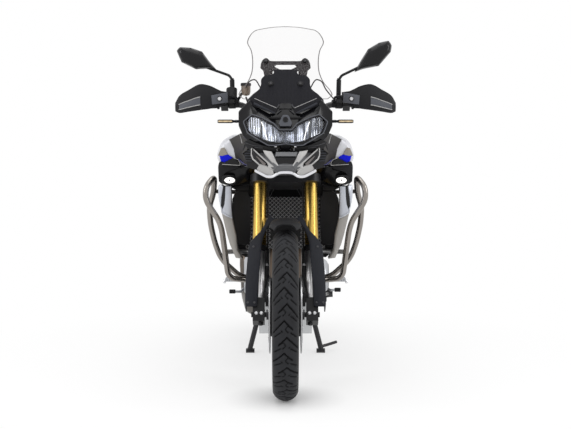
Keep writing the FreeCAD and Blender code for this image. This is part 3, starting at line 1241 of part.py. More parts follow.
# Front: what the head tube's stay carries
stayWay = [on_steer(22, 24, 640), on_steer(26, 120, 668), spot(30, -588, 986), spot(52, -572, 1080),
           spot(58, -560, 1168), spot(58, -520, 1262)]
stayLow = [on_steer(22, 24, 716), on_steer(26, 100, 716), spot(30, -580, 1010)]
stayCross = [rod(spot(-140, -571, 1066), spot(140, -571, 1066), 14),
             rod(spot(-31, -588, 986), spot(31, -588, 986), 14),
             rod(spot(-58, -552, 1184), spot(58, -552, 1184), 12)]
stay = join(tube(stayWay, 14, 40), tube(stayLow, 14, 40), mirrored(tube(stayWay, 14, 40)),
            mirrored(tube(stayLow, 14, 40)), *stayCross)
feature("fairing_stay", seated(stay, "main_frame"))

# Headlight: lens outline by distance from the middle: top, bottom and how far forward
lensRows = [(0, 1040, 996, -742), (25, 1040, 996, -741), (36, 1052, 997, -740), (49, 1063, 999, -738),
            (78, 1077, 1006, -730), (107, 1094, 1018, -718), (136, 1099, 1031, -700),
            (153, 1078, 1060, -688)]
lensRows = [(-x, t, b, y) for x, t, b, y in reversed(lensRows[1:])] + lensRows


def lens_slice(row, inset, front, back):
    x, top, bottom, y = row
    middle = (top + bottom) / 2
    high = (top - bottom) / 2 - inset
    x = x * (1 - inset / 153)
    return slice_at(x, [(y + front + 4, middle + high), (y + front, middle), (y + front + 3, middle - high),
                        (y + back, middle - high), (y + back, middle + high)])


lens = loft([lens_slice(row, 0, 0, 6) for row in lensRows])
feature("headlight_lens", one_solid(lens))
unit = loft([slice_at(x, [(y + 6, t), (y + 6, (t + b) / 2), (y + 6, b), (-600, b + 4), (-600, t - 4)])
             for x, t, b, y in lensRows])
chamberRows = ((38, 1053, 998, -740), (78, 1077, 1006, -730), (107, 1094, 1018, -718),
               (138, 1094, 1036, -699))
pockets = []
for side in (-1, 1):
    pockets.append(loft([slice_at(side * x, [(y + 5, t - 5), (y + 5, b + 5), (y + 40, b + 12),
                                             (y + 40, t - 12)]) for x, t, b, y in chamberRows]))
pockets.append(Part.makeBox(58, 26, 26, spot(-29, -746, 1005)))
feature("headlight_unit", seated(unit.cut(pockets[0].multiFuse(pockets[1:])), "fairing_stay",
                                 "headlight_lens"))

cowlHalf = [(0, 1142), (22, 1140), (38, 1112), (131, 1142), (139, 1166), (184, 1118), (184, 1063),
            (166, 1022), (139, 997), (84, 974), (30, 984), (0, 985)]


def cowl_station(y, factor, sink=0):
    return station(y, symmetric([(x * factor, 1060 + (z - 1060) * factor + sink) for x, z in cowlHalf]))


cowl = loft([cowl_station(-716, 0.8), cowl_station(-698, 0.96), cowl_station(-686, 1),
             cowl_station(-612, 0.99, 2), cowl_station(-580, 0.93, 4)])
hollow = loft([station(y, [(-118, 1016), (118, 1016), (140, 1050), (150, 1100), (118, 1120), (0, 1096),
                           (-118, 1120), (-150, 1100), (-140, 1050)]) for y in (-600, -570)])
lensRoom = loft([slice_at(x, [(-800, t + 0.3), (-800, b - 0.3), (-560, b - 0.3), (-560, t + 0.3)])
                 for x, t, b, y in lensRows])
cowl = cowl.cut(hollow)
feature("front_cowl", one_solid(seated(cowl, "headlight_unit", "headlight_lens",
                                       "fairing_stay").cut(lensRoom.common(
    Part.makeBox(400, 120, 200, spot(-200, -800, 960))))))

beak = loft([
    hull(-838, [(0, 912), (26, 908), (38, 898), (30, 888), (0, 884)]),
    hull(-800, [(0, 936), (52, 932), (70, 908), (48, 876), (0, 874)]),
    hull(-740, [(0, 958), (88, 962), (112, 928), (74, 868), (0, 866)]),
    hull(-684, [(0, 970), (124, 974), (130, 944), (106, 888), (0, 868)]),
    hull(-622, [(0, 972), (126, 976), (132, 950), (110, 900), (0, 880)]),
])
vents = [loft([[Vector(side * x, y, z) for x, z in ((52, 946), (100, 938), (92, 912), (58, 908))]
               for y in (-860, -752)]) for side in (-1, 1)]
beakPost = rod(spot(0, -652, 950), spot(0, -600, 996), 30)
feature("beak", seated(join(beak.cut(vents[0].fuse(vents[1])), beakPost), "front_cowl", "headlight_unit",
                       "fairing_stay", "headlight_lens"))


# Windscreen: level stations along a leaning middle line, bowed back at the sides
def screen_middle(z):
    return -640 + (z - 1169) * 210 / 307


def bowed(z, half, ahead, thick, bow=250.0):
    shares = [k / 4 - 1 for k in range(9)]
    front = [(half * share, screen_middle(z) + ahead + (half * share) ** 2 / (2 * bow)) for share in shares]
    back = [(x, y + thick) for x, y in reversed(front)]
    return level_at(z, front + back)


screenThick = size("screenThick")
screen = loft([bowed(z, half, 0, screenThick) for z, half in (
    (1170, 168), (1188, 187), (1204, 180), (1232, 156), (1274, 137), (1320, 133), (1369, 137), (1408, 153),
    (1430, 146), (1449, 125), (1461, 96), (1470, 60))])
feature("windscreen", one_solid(screen))
panelShape = loft([bowed(z, half, -5.5, 5.2) for z, half in (
    (1112, 126), (1141, 135), (1184, 116), (1226, 98), (1250, 98), (1266, 88), (1279, 58))])
bracketBar = loft([bowed(z, half, screenThick + 2, 7) for z, half in ((1288, 98), (1296, 106), (1334, 106),
                                                                      (1342, 98))])
knobs = [rod(spot(x, screen_middle(1314) + 18, 1314), spot(x, screen_middle(1314) - 6, 1314 + 9), 24)
         for x in (-76, 76)]
knobs += [rod(spot(x, screen_middle(1226) + 22, 1226), spot(x, screen_middle(1226) - 9, 1235), 14)
          for x in (-54, 54)]
posts = [rod(spot(x, -520, 1258), spot(x, screen_middle(1314) + 14, 1314), 12) for x in (-58, 58)]
struts = [rod(spot(x, screen_middle(1226) + 14, 1230), spot(x, -516, 1262), 10) for x in (-56, 56)]
mountShape = join(bracketBar, *knobs, *posts, rod(spot(-58, -512, 1262), spot(58, -512, 1262), 12), *struts)
feature("screen_panel", seated(panelShape, "windscreen", "front_cowl"))
feature("screen_mount", seated(mountShape, "windscreen", "fairing_stay", "screen_panel"))
screenCut = pieces["windscreen"].Shape
pieces["windscreen"].Shape = one_solid(screenCut.cut(pieces["screen_mount"].Shape))

display = Part.makeBox(188, 26, 112, Vector(-94, 0, 0))
display.Placement = Placement(spot(0, -548, 1110), Rotation(Vector(1, 0, 0), -28))
feature("instrument", seated(join(display, rod(spot(0, -552, 1184), spot(0, -498, 1170), 20)),
                             "fairing_stay",
                             "windscreen", "front_cowl", "screen_mount"))

# Side bodywork, one side and its mirror image
shroudHalf = loft([
    station(-492, [(272, 944), (258, 1000), (230, 1022), (206, 1020), (196, 1014), (196, 920), (226, 918),
                   (266, 928)]),
    station(-478, [(278, 944), (262, 1009), (232, 1032), (205, 1030), (188, 1024), (189, 911), (226, 911),
                   (272, 923)]),
    station(-330, [(246, 930), (230, 1000), (204, 1018), (184, 1016), (166, 1000), (168, 898), (200, 884),
                   (238, 902)]),
    station(-180, [(198, 900), (188, 962), (172, 976), (160, 972), (150, 960), (150, 870), (168, 858),
                   (190, 872)]),
    station(-60, [(160, 872), (156, 900), (148, 910), (140, 908), (134, 900), (134, 846), (142, 838),
                  (156, 848)]),
])
feature("tank_shrouds", Part.Compound([seated(item, "fuel_tank") for item in (shroudHalf,
                                                                              mirrored(shroudHalf))]))
sidePanel = loft([
    station(-500, [(188, 908), (226, 908.5), (270, 920), (276, 900), (274, 844), (264, 842), (246, 872),
                   (190, 890)]),
    station(-430, [(188, 908), (226, 908.5), (262, 916), (268, 896), (266, 838), (256, 836), (238, 856),
                   (186, 868)]),
    station(-300, [(160, 888), (190, 882), (228, 896), (232, 878), (226, 800), (214, 790), (196, 800),
                   (156, 830)]),
    station(-150, [(146, 858), (164, 852), (184, 866), (184, 852), (176, 790), (168, 782), (156, 790),
                   (146, 820)]),
])
feature("side_panels", Part.Compound([seated(item, "fuel_tank", "tank_shrouds", "main_frame")
                                      for item in (sidePanel, mirrored(sidePanel))]))
wingLine = [(223, 816), (266, 812), (278, 804), (280, 740), (266, 690), (246, 637), (222, 563), (205, 521),
            (177, 517), (197, 554), (219, 682), (223, 719)]
wing = loft([station(y, [(x * f + (1 - f) * 190, z * f + (1 - f) * 680) for x, z in wingLine])
             for y, f in ((-514, 0.96), (-504, 1), (-420, 0.99), (-398, 0.94))])
wing = wing.cut(Part.makeBox(13, 60, 62, spot(233, -530, 744)))
wingTabs = [rod(spot(160, -420, z), spot(222, -430, z), 14) for z in (612, 722)]
feature("radiator_wings", Part.Compound([seated(item, "radiator", "side_panels", "main_frame") for item in
                                         (join(wing, *wingTabs), mirrored(join(wing, *wingTabs)))]))

# Crash bars with their cross tubes
guardDia = size("barTubeDia")
guardLine = [spot(96, -296, 408), spot(160, -396, 417), spot(222, -420, 426), spot(240, -430, 446),
             spot(263, -456, 631), spot(275, -460, 672), spot(330, -466, 758), spot(328, -466, 812),
             spot(300, -444, 848), spot(296, -404, 842), spot(302, -385, 778), spot(321, -368, 727),
             spot(317, -350, 649), spot(302, -325, 571), spot(282, -300, 509), spot(258, -284, 474),
             spot(197, -256, 414), spot(86, -226, 392)]
guard = join(tube(guardLine, guardDia, 34), rod(spot(250, -442, 541), spot(140, -196, 566), 20),
             rod(spot(302, -385, 790), spot(124, -262, 776), 18))
feature("crash_bars", Part.Compound([seated(item, "engine_case", "main_frame", "side_panels",
                                            "radiator_wings",
                                            "tank_shrouds", "radiator", "cylinder_head", "skid_plate")
                                     for item in (guard, mirrored(guard))]))


def oval(x, y, z, wide, high):
    return [Vector(x + wide * math.cos(math.pi * k / 8), y,
                   z + high * math.sin(math.pi * k / 8)) for k in range(16)]


fogLamp = loft([oval(227, -534, 842, 24, 17), oval(227, -528, 842, 29, 22), oval(227, -494, 842, 29, 22),
                oval(227, -470, 842, 16, 14)])
fogPost = join(rod(spot(227, -478, 838), spot(264, -462, 822), 10),
               rod(spot(264, -462, 822), spot(306, -440, 838), 10))
feature("fog_lamps", Part.Compound([seated(item, "crash_bars", "side_panels", "radiator_wings")
                                    for item in (join(fogLamp, fogPost), mirrored(join(fogLamp, fogPost)))]))


def winker_body(front, back, rows):
    """A slim indicator along X, between two depths, from rows of x and its lower and upper rim."""
    return loft([slice_at(x, [(front, low), (front, high), (back, high), (back, low)])
                 for x, low, high in rows])


frontRows = ((206, 1073, 1087), (212, 1071, 1089), (262, 1072, 1088), (267, 1075, 1085))
rearRows = ((122, 749, 763), (128, 747, 765), (178, 748, 764), (184, 751, 761))
winker = join(winker_body(-668, -634, frontRows), rod(spot(176, -646, 1080), spot(212, -650, 1080), 12))
rearWinker = join(winker_body(966, 1004, rearRows), rod(spot(120, 985, 756), spot(130, 985, 756), 12))
feature("indicators", Part.Compound([seated(item, "front_cowl", "plate_carrier") for item in
                                     (winker, mirrored(winker), rearWinker, mirrored(rearWinker))]))
doc.recompute()

for thing in doc.Objects:
    if "Invalid" in thing.State or "Error" in thing.State:
        raise RuntimeError(f"{thing.Name} didn't recompute")
os.makedirs("parts", exist_ok=True)
for node, thing in pieces.items():
    shape = thing.Shape
    if shape.isNull() or not shape.isValid() or not shape.Solids:
        raise RuntimeError(f"{node} has no sound shape")
    shape.exportStep(f"parts/{node}.step")
print(f"{len(pieces)} pieces written")
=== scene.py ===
import json
import math

import bpy
import numpy as np
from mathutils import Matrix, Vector


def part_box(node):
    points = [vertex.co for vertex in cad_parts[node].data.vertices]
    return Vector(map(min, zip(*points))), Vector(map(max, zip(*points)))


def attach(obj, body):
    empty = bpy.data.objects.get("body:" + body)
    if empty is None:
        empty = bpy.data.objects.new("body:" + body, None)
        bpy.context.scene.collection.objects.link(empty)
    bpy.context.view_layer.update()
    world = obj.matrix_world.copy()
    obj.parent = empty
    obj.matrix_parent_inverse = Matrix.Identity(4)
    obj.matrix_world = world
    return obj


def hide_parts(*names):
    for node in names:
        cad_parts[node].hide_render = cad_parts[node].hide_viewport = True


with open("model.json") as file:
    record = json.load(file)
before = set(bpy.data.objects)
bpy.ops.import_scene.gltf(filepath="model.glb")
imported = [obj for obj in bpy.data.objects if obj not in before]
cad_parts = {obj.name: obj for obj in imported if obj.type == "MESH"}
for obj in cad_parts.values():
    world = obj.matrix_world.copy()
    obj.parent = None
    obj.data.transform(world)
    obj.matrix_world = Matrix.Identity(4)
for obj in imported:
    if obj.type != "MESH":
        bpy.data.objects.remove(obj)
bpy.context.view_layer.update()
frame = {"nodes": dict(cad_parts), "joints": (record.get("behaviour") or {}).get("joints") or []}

nodes = frame["nodes"]
joints = {joint["name"]: joint for joint in frame["joints"]}
print("frame loaded:", len(nodes), "nodes")

# Camera: where the photograph was taken from, with its focal length and middle in the photograph's own pixels
cameraFit = {"place": (0, -5.174, 1.05), "lens": 72.126, "sensor": 36.0, "downDegrees": 4.274,
    "focal": 1144.0, "middle": (286, 214.5)}

# Shapes are worked out in millimetres, in the frame's own axes, and scaled once when a mesh is made
metre = 1000.0
steerFoot = np.array(joints["steering"]["pos_m"]) * metre
steerUp = np.array(joints["steering"]["axis"])
steerAhead = np.array([0, -steerUp[2], steerUp[1]])
frontAxle = np.array(joints["front_wheel"]["pos_m"]) * metre
rearAxle = np.array(joints["rear_wheel"]["pos_m"]) * metre


def onSteer(x, ahead, up):  # places beside, ahead of and up along the steering axis, from numbers or arrays
    x, ahead, up = np.broadcast_arrays(x, ahead, up)
    return steerFoot + x[..., None] * [1, 0, 0] + ahead[..., None] * steerAhead + up[..., None] * steerUp


# Shader maths


class Value:
    # An output socket, so that an expression on it adds its Math nodes
    def __init__(self, graph, socket):
        self.graph = graph
        self.socket = socket

    def math(self, operation, *others):
        return self.graph.add("ShaderNodeMath", {"operation": operation}, (self, *others))

    def __add__(self, other):
        return self.math("ADD", other)

    def __sub__(self, other):
        return self.math("SUBTRACT", other)

    def __rsub__(self, other):
        return self.graph.add("ShaderNodeMath", {"operation": "SUBTRACT"}, (other, self))

    def __mul__(self, other):
        return self.math("MULTIPLY", other)

    def __truediv__(self, other):
        return self.math("DIVIDE", other)

    __radd__ = __add__
    __rmul__ = __mul__

    def between(self, low, high, start=0.0, kind="SMOOTHSTEP"):
        # From start at low to 1 at high, held beyond them
        limits = {"Value": self, "From Min": low, "From Max": high, "To Min": start}
        return self.graph.add("ShaderNodeMapRange", {"interpolation_type": kind}, limits)


class Graph:
    # The nodes of one material, or of the world
    def __init__(self, name, owner=None):
        self.owner = owner or bpy.data.materials.new(name)
        self.owner.use_nodes = True
        self.tree = self.owner.node_tree
        self.tree.nodes.clear()
        self.place = self.add("ShaderNodeTexCoord", output="Object")

    def give(self, socket, value):  # a link, a number, or a colour, which gets its alpha
        if isinstance(value, Value):
            self.tree.links.new(value.socket, socket)
        else:
            socket.default_value = (*value, 1) if socket.type == "RGBA" else value

    def add(self, kind, settings=None, inputs=(), output=0):
        node = self.tree.nodes.new(kind)
        for name, value in (settings or {}).items():
            setattr(node, name, value)
        for key, value in inputs.items() if isinstance(inputs, dict) else enumerate(inputs):
            self.give(node.inputs[key], value)
        return Value(self, node.outputs[output]) if node.outputs else None

    def stretched(self, scale, shift=(0, 0, 0)):
        return self.add("ShaderNodeMapping", None, {"Vector": self.place, "Scale": scale, "Location": shift})

    def axes(self, vector=None):
        first = self.add("ShaderNodeSeparateXYZ", None, (vector or self.place,))
        return [Value(self, output) for output in first.socket.node.outputs]

    def axesFrom(self, point):  # coordinates in metres from a point in millimetres
        return self.axes(self.stretched((1, 1, 1), tuple(-point / metre)))

    def noise(self, scale, detail=3.0, vector=None):
        inputs = {"Vector": vector or self.place, "Scale": scale, "Detail": detail}
        return self.add("ShaderNodeTexNoise", None, inputs)

    def lines(self, coordinate, detail):  # noise that changes with one coordinate only
        return self.noise(1.0, detail, self.add("ShaderNodeCombineXYZ", None, (coordinate, 0.0, 0.0)))

    def cells(self, scale, feature="F1", output="Distance"):
        return self.add("ShaderNodeTexVoronoi", {"feature": feature}, {"Vector": self.place, "Scale": scale},
                        output)

    def mix(self, one, two, share):  # colours one and two by a share from 0 to 1
        return self.add("ShaderNodeMix", {"data_type": "RGBA"}, {0: share, 6: one, 7: two}, 2)

    def shades(self, color, low, high, share):  # between two multiples of a colour
        return self.mix(shade(color, low), shade(color, high), share)

    def bump(self, height, distance):
        return self.add("ShaderNodeBump", None, {"Height": height, "Distance": distance, "Strength": 1.0})

    def surface(self, **values):  # the shader itself: names are its sockets', in camelCase
        shader = self.add("ShaderNodeBsdfPrincipled")
        sockets = {socket.name.replace(" ", "").lower(): socket for socket in shader.socket.node.inputs}
        for name, value in values.items():
            self.give(sockets[name.lower()], value)
        self.add("ShaderNodeOutputMaterial", None, (shader,))
        return self.owner


def shade(color, factor):
    return tuple(channel * factor for channel in color)


def moulded(name, color, roughness=0.5, grain=700.0, depth=0.00012, coat=0.0):
    # Moulded plastic: fine grain, with faint patches where it was handled
    g = Graph(name)
    fine, broad = g.cells(grain), g.noise(9.0)
    return g.surface(baseColor=g.shades(color, 0.8, 1.25, broad), specularIorLevel=0.22, coatWeight=coat,
                     roughness=roughness + (broad - 0.5) * 0.16 + (fine - 0.5) * 0.06, coatRoughness=0.08,
                     normal=g.bump(fine, depth))


def painted(name, color, roughness=0.28, flake=0.0, coat=0.8, shine=0.5):
    # Sprayed paint under a clear coat, with metal flake where asked and a little orange peel
    g = Graph(name)
    level = g.axes(g.cells(2600.0, output="Color"))[0] * flake
    tinted = g.shades(color, 0.93, 1.05, g.noise(5.0, 2.0))
    return g.surface(baseColor=g.mix(tinted, shade(color, 1.35), level), metallic=0.35 if flake else 0.0,
                     roughness=roughness + level * 0.1, specularIorLevel=shine, coatWeight=coat,
                     coatRoughness=0.05, normal=g.bump(g.noise(120.0, 2.0), 0.00006))


def castMetal(name, color, roughness=0.42, metallic=1.0, depth=0.00025):
    # Cast alloy: sand-like skin, darker in patches
    g = Graph(name)
    sand, broad = g.noise(650.0, 5.0), g.noise(16.0, 4.0)
    return g.surface(baseColor=g.shades(color, 0.72, 1.12, broad), metallic=metallic,
                     normal=g.bump(sand, depth),
                     roughness=roughness + (broad - 0.5) * 0.22 + (sand - 0.5) * 0.12)


def brushedMetal(name, color, roughness=0.26, along=(6.0, 900.0, 900.0), depth=0.00004, tarnish=0.25):
    # Ground or polished metal: fine lines along one axis and a few duller patches
    g = Graph(name)
    grain, broad = g.noise(1.0, 4.0, g.stretched(along)), g.noise(11.0, 4.0)
    return g.surface(baseColor=g.shades(color, 1.0 - tarnish, 1.06, broad), metallic=1.0, roughness=roughness
                     + (grain - 0.5) * 0.16 + (broad - 0.5) * 0.12, normal=g.bump(grain, depth))


def turnedMetal(name, color, axle, roughness=0.3):
    # Ground on a lathe about an axle along X: rings, from the distance to the axle
    g = Graph(name)
    y, z = g.axesFrom(axle)[1:]
    rings, broad = g.lines((y * y + z * z).math("SQRT") * 2600.0, 3.0), g.noise(14.0)
    return g.surface(baseColor=g.shades(color, 0.7, 1.1, rings), metallic=1.0, normal=g.bump(rings, 0.00005),
                     roughness=roughness + (rings - 0.5) * 0.2 + (broad - 0.5) * 0.1)


def anodised(name, color):
    # Anodised tube: deep colour, faint lines round it from the lathe
    g = Graph(name)
    y, z = g.axes()[1:]
    rings = g.lines((y * float(steerUp[1]) + z * float(steerUp[2])) * 1400.0, 2.0)
    return g.surface(baseColor=g.shades(color, 0.8, 1.15, g.noise(8.0, 2.0)), metallic=1.0,
                     roughness=0.24 + rings * 0.06, normal=g.bump(rings, 0.00003))


def heatTinted(name, color, tint, hotEnd, coldEnd):
    # Stainless pipe: straw and blue near the port's height, plain steel further down
    g = Graph(name)
    heat = (g.axes()[2] - coldEnd) / (hotEnd - coldEnd)
    cloud, grain = g.noise(22.0, 4.0), g.noise(1.0, 3.0, g.stretched((300.0, 300.0, 12.0)))
    share = (heat + (cloud - 0.5) * 0.5).between(0.1, 1.0)
    return g.surface(baseColor=g.mix(g.shades(color, 0.8, 1.0, cloud), tint, share * 0.75), metallic=1.0,
                     roughness=0.3 + (cloud - 0.5) * 0.2 + (grain - 0.5) * 0.08,
                     normal=g.bump(grain, 0.00004))


def tyreRubber(name, axle, crown):
    # Rubber: dull and dust-coloured on the tread, slightly shinier on the walls, with thin moulded rings;
    # painted shade darkens the grooves by how deep they are cut
    g = Graph(name)
    y, z = g.axesFrom(axle)[1:]
    distance = (y * y + z * z).math("SQRT")
    tread = distance.between((crown - 26) / metre, (crown - 12) / metre)
    dust, fine = g.noise(26.0, 5.0), g.noise(900.0)
    ringed = (distance * 1500.0).math("SINE") * (1 - tread)
    cut = g.add("ShaderNodeAttribute", {"attribute_name": "cut"}, (), 2)
    # Painted shade: the grooves lose the dust's lighter colour and go near black by their depth
    dustAndGrooveShade = g.mix((0.008, 0.008, 0.009), (0.03, 0.031, 0.035), dust * (0.35 + tread * 0.65) * (1 - cut * 0.9))
    return g.surface(baseColor=g.mix(dustAndGrooveShade, (0.001, 0.001, 0.001), cut * 0.85), specularIorLevel=0.22,
                     roughness=0.55 + tread * 0.2 + (dust - 0.5) * 0.2,
                     normal=g.bump(fine * 0.4 + ringed * 0.25, 0.0003))


def clearPlastic(name, tint, roughness=0.03, alpha=0.16):
    # Clear sheet: thin, so it is see-through by alpha, with its edge and gloss kept
    g = Graph(name)
    rim = g.add("ShaderNodeLayerWeight", None, {"Blend": 0.35}, "Facing")
    return g.surface(baseColor=tint, roughness=roughness + g.noise(18.0) * 0.05, specularIorLevel=0.6,
                     alpha=alpha + rim.between(0.35, 1.0) * 0.75, coatWeight=0.3)


def glowing(name, color, strength):
    # Lit surface: even light, with the faintest cloud in it
    g = Graph(name)
    return g.surface(baseColor=shade(color, 0.8), roughness=0.2, emissionStrength=strength,
                     emissionColor=g.shades(color, 0.85, 1.0, g.noise(60.0, 2.0)))


def lampPlastic(name, color, ribs=260.0):
    # Tinted lamp cover: glossy, with prism ribs under its skin
    g = Graph(name)
    x, y, z = g.axes()
    prism = ((x * ribs).math("SINE") + (z * ribs * 1.3).math("SINE")) * 0.25 + 0.5
    # Painted light: the colour brightens and darkens with the prism ribs
    return g.surface(baseColor=g.shades(color, 0.55, 1.2, prism), roughness=0.12 + prism * 0.1,
                     coatWeight=1.0, coatRoughness=0.03, normal=g.bump(prism, 0.0002))


def forkLegMetal(name):
    # Hard chrome on the leg above its foot, black cast alloy on the foot
    g = Graph(name)
    y, z = g.axesFrom(steerFoot)[1:]
    leg = (y * float(steerUp[1]) + z * float(steerUp[2])).between(0.069, 0.07)
    sand = g.noise(500.0, 4.0)
    return g.surface(baseColor=g.mix((0.012, 0.012, 0.013), (0.85, 0.84, 0.84), leg), metallic=leg,
                     roughness=0.42 - leg * 0.12 + sand * 0.05, specularIorLevel=0.25,
                     normal=g.bump(sand * (1 - leg), 0.00012))


def reflectorMetal(name):
    # Bright metal with painted reflections: dark and light upright stripes in its colour stand in for the
    # lamp's parts it would mirror
    g = Graph(name)
    paintedStreaks, broad = g.noise(1.0, 1.5, g.stretched((105.0, 14.0, 14.0))), g.noise(24.0, 2.0)
    # Painted reflection: the stripes set the colour between dark and bright
    level = (paintedStreaks + (broad - 0.5) * 0.3).between(0.4, 0.6)
    return g.surface(baseColor=g.mix((0.06, 0.07, 0.1), (0.86, 0.9, 1.0), level), metallic=1.0,
                     roughness=0.16 + broad * 0.1)


def seatCover(name, color):
    # Seat cover: pebbled grain, softer shine where it is sat on
    g = Graph(name)
    pebbles, broad = g.cells(420.0, "SMOOTH_F1"), g.noise(7.0)
    return g.surface(baseColor=g.shades(color, 0.7, 1.35, pebbles), normal=g.bump(pebbles, 0.0005),
                     roughness=0.55 + (broad - 0.5) * 0.22 + (pebbles - 0.5) * 0.1)


def coreMetal(name, color):
    # Radiator core: rows of folded fins between flat tubes
    g = Graph(name)
    x, y, z = g.axes()
    folds, tubes = (x * 2400.0).math("SINE"), (z * 780.0 + y * 90.0).math("SINE")
    # Painted light and shade: the colour is lighter and darker with the fins' folds
    return g.surface(baseColor=g.shades(color, 0.4, 1.5, folds * 0.3 + 0.5), metallic=0.6,
                     roughness=0.5 + tubes * 0.1, normal=g.bump(folds * 0.5 + tubes, 0.0008))


def meshPanel(name, color):
    # Moulded diamonds: sines of the two slanting sums of x and the height, multiplied
    g = Graph(name)
    x, y, z = g.axes()
    diamonds = ((x * 560.0 + z * 980.0).math("SINE") * (z * 980.0 - x * 560.0).math("SINE")) * 0.5 + 0.5
    # Painted light and shade: the diamonds' raised faces are coloured lighter and their hollows darker
    return g.surface(baseColor=g.shades(color, 0.4, 2.2, diamonds), roughness=0.55 + diamonds * 0.12,
                     specularIorLevel=0.12, normal=g.bump(diamonds, 0.0012))


# Each finish: how it is made, its colour and then that maker's own settings
finishTable = {
    "castBlack": (castMetal, (0.03, 0.03, 0.033), 0.4, 0.5, 0.0001),
    "frameBlack": (painted, (0.014, 0.014, 0.016), 0.36, 0.0, 0.15, 0.3),
    "goldTube": (anodised, (0.6, 0.4, 0.1)),
    "forkLeg": (forkLegMetal,),
    "castGrey": (castMetal, (0.5, 0.51, 0.53), 0.38),
    "darkCast": (castMetal, (0.09, 0.09, 0.095), 0.42, 0.8),
    "blackPlastic": (moulded, (0.009, 0.009, 0.01), 0.5),
    "softBlack": (moulded, (0.011, 0.011, 0.0125), 0.6, 900.0, 0.0002),
    "glossBlack": (painted, (0.004, 0.004, 0.005), 0.22, 0.0, 0.12, 0.22),
    "silverPaint": (painted, (0.36, 0.355, 0.35), 0.3, 0.35, 0.5),
    "whitePaint": (painted, (0.66, 0.665, 0.7), 0.3, 0.1, 0.3),
    "bluePaint": (painted, (0.001, 0.006, 0.6), 0.32, 0.0, 0.06, 0.12),
    "inkBlue": (painted, (0.008, 0.009, 0.11), 0.32, 0.0, 0.15, 0.25),
    "sandPaint": (painted, (0.26, 0.235, 0.2), 0.34, 0.0, 0.2, 0.3),
    "greyPaint": (painted, (0.075, 0.077, 0.083), 0.38, 0.2, 0.3),
    "polished": (brushedMetal, (0.33, 0.305, 0.28), 0.24, (60.0, 60.0, 900.0)),
    "steel": (brushedMetal, (0.5, 0.5, 0.52), 0.3),
    "brightBolt": (brushedMetal, (0.8, 0.8, 0.82), 0.2, (700.0, 700.0, 700.0)),
    "brushedSheet": (brushedMetal, (0.62, 0.63, 0.64), 0.32, (900.0, 8.0, 900.0)),
    "chainSteel": (brushedMetal, (0.34, 0.31, 0.25), 0.38, (500.0, 90.0, 500.0), 0.00004, 0.5),
    "frontDisc": (turnedMetal, (0.55, 0.55, 0.56), frontAxle),
    "rearDisc": (turnedMetal, (0.55, 0.55, 0.56), rearAxle),
    "pipe": (heatTinted, (0.13, 0.12, 0.11), (0.12, 0.075, 0.045), 0.64, 0.2),
    "frontRubber": (tyreRubber, frontAxle, 331),
    "rearRubber": (tyreRubber, rearAxle, 320),
    "gripRubber": (moulded, (0.014, 0.014, 0.015), 0.75, 1300.0, 0.0003),
    "clearScreen": (clearPlastic, (0.3, 0.25, 0.25), 0.03, 0.035),
    "clearLens": (clearPlastic, (0.9, 0.93, 0.97), 0.02, 0.06),
    "amber": (lampPlastic, (0.55, 0.36, 0.14)),
    "red": (lampPlastic, (0.5, 0.012, 0.012)),
    "cover": (seatCover, (0.03, 0.03, 0.033)),
    "core": (coreMetal, (0.03, 0.03, 0.032)),
    "lampLight": (glowing, (1.0, 0.98, 0.95), 1.4),
    "plateWhite": (painted, (0.72, 0.72, 0.7), 0.4, 0.0, 0.3),
    "engineBlack": (castMetal, (0.02, 0.02, 0.022), 0.45, 0.5),
    "mirrorGlass": (brushedMetal, (0.75, 0.78, 0.8), 0.02, (3.0, 3.0, 3.0), 0.0, 0.04),
    "lampGlass": (painted, (0.012, 0.013, 0.018), 0.06, 0.0, 1.0),
    "meshPanel": (meshPanel, (0.0065, 0.0065, 0.009)),
    "screenEdge": (moulded, (0.16, 0.15, 0.15), 0.3),
    "greyPlastic": (moulded, (0.05, 0.05, 0.055), 0.45),
    "slateBlue": (moulded, (0.085, 0.089, 0.103), 0.4),
    "slateDark": (moulded, (0.022, 0.024, 0.032), 0.45),
    "guardSlate": (moulded, (0.014, 0.015, 0.02), 0.55, 900.0, 0.0002),
    "smokedCup": (moulded, (0.2, 0.15, 0.11), 0.25, 200.0, 0.0, 0.6),
    "cream": (lampPlastic, (0.62, 0.47, 0.27)),
    "reflector": (reflectorMetal,),
    "darkPanel": (moulded, (0.05, 0.047, 0.045), 0.5, 500.0, 0.0002),
    "sandDark": (moulded, (0.14, 0.125, 0.12), 0.45),
    "satinSilver": (painted, (0.47, 0.49, 0.54), 0.34, 0.3, 0.4),
    "satinBronze": (painted, (0.31, 0.295, 0.275), 0.34, 0.3, 0.4),
    "meshMetal": (moulded, (0.34, 0.34, 0.35), 0.35),
}
finishes = {name: make(name, *settings) for name, (make, *settings) in finishTable.items()}

# The nodes that wear a finish
wornBy = {
    "frontRubber": "front_tyre",
    "rearRubber": "rear_tyre",
    "castBlack": "front_rim rear_rim fork_yokes front_calipers rear_caliper",
    "frontDisc": "front_discs",
    "rearDisc": "rear_disc",
    "steel": "rear_sprocket front_sprocket",
    "goldTube": "fork_tubes",
    "forkLeg": "fork_legs",
    "frameBlack": "handlebar main_frame centre_stand side_stand luggage_rack fairing_stay",
    "gripRubber": "grips",
    "blackPlastic": "hand_controls mirrors airbox screen_panel fog_lamps",
    "softBlack": "hand_guards tail_cowl plate_carrier screen_mount side_panels",
    "guardSlate": "front_mudguard",
    "chainSteel": "chain",
    "castGrey": "swingarm foot_controls",
    "darkCast": "rear_shock",
    "engineBlack": "engine_case cylinder_head",
    "core": "radiator",
    "pipe": "exhaust_header",
    "brushedSheet": "silencer skid_plate",
    "silverPaint": "fuel_tank beak radiator_wings",
    "cover": "rider_seat pillion_seat",
    "red": "tail_lamp",
    "plateWhite": "number_plate",
    "clearLens": "headlight_lens",
    "glossBlack": "headlight_unit front_cowl instrument",
    "clearScreen": "windscreen",
    "whitePaint": "tank_shrouds",
    "polished": "crash_bars",
    "amber": "indicators",
}


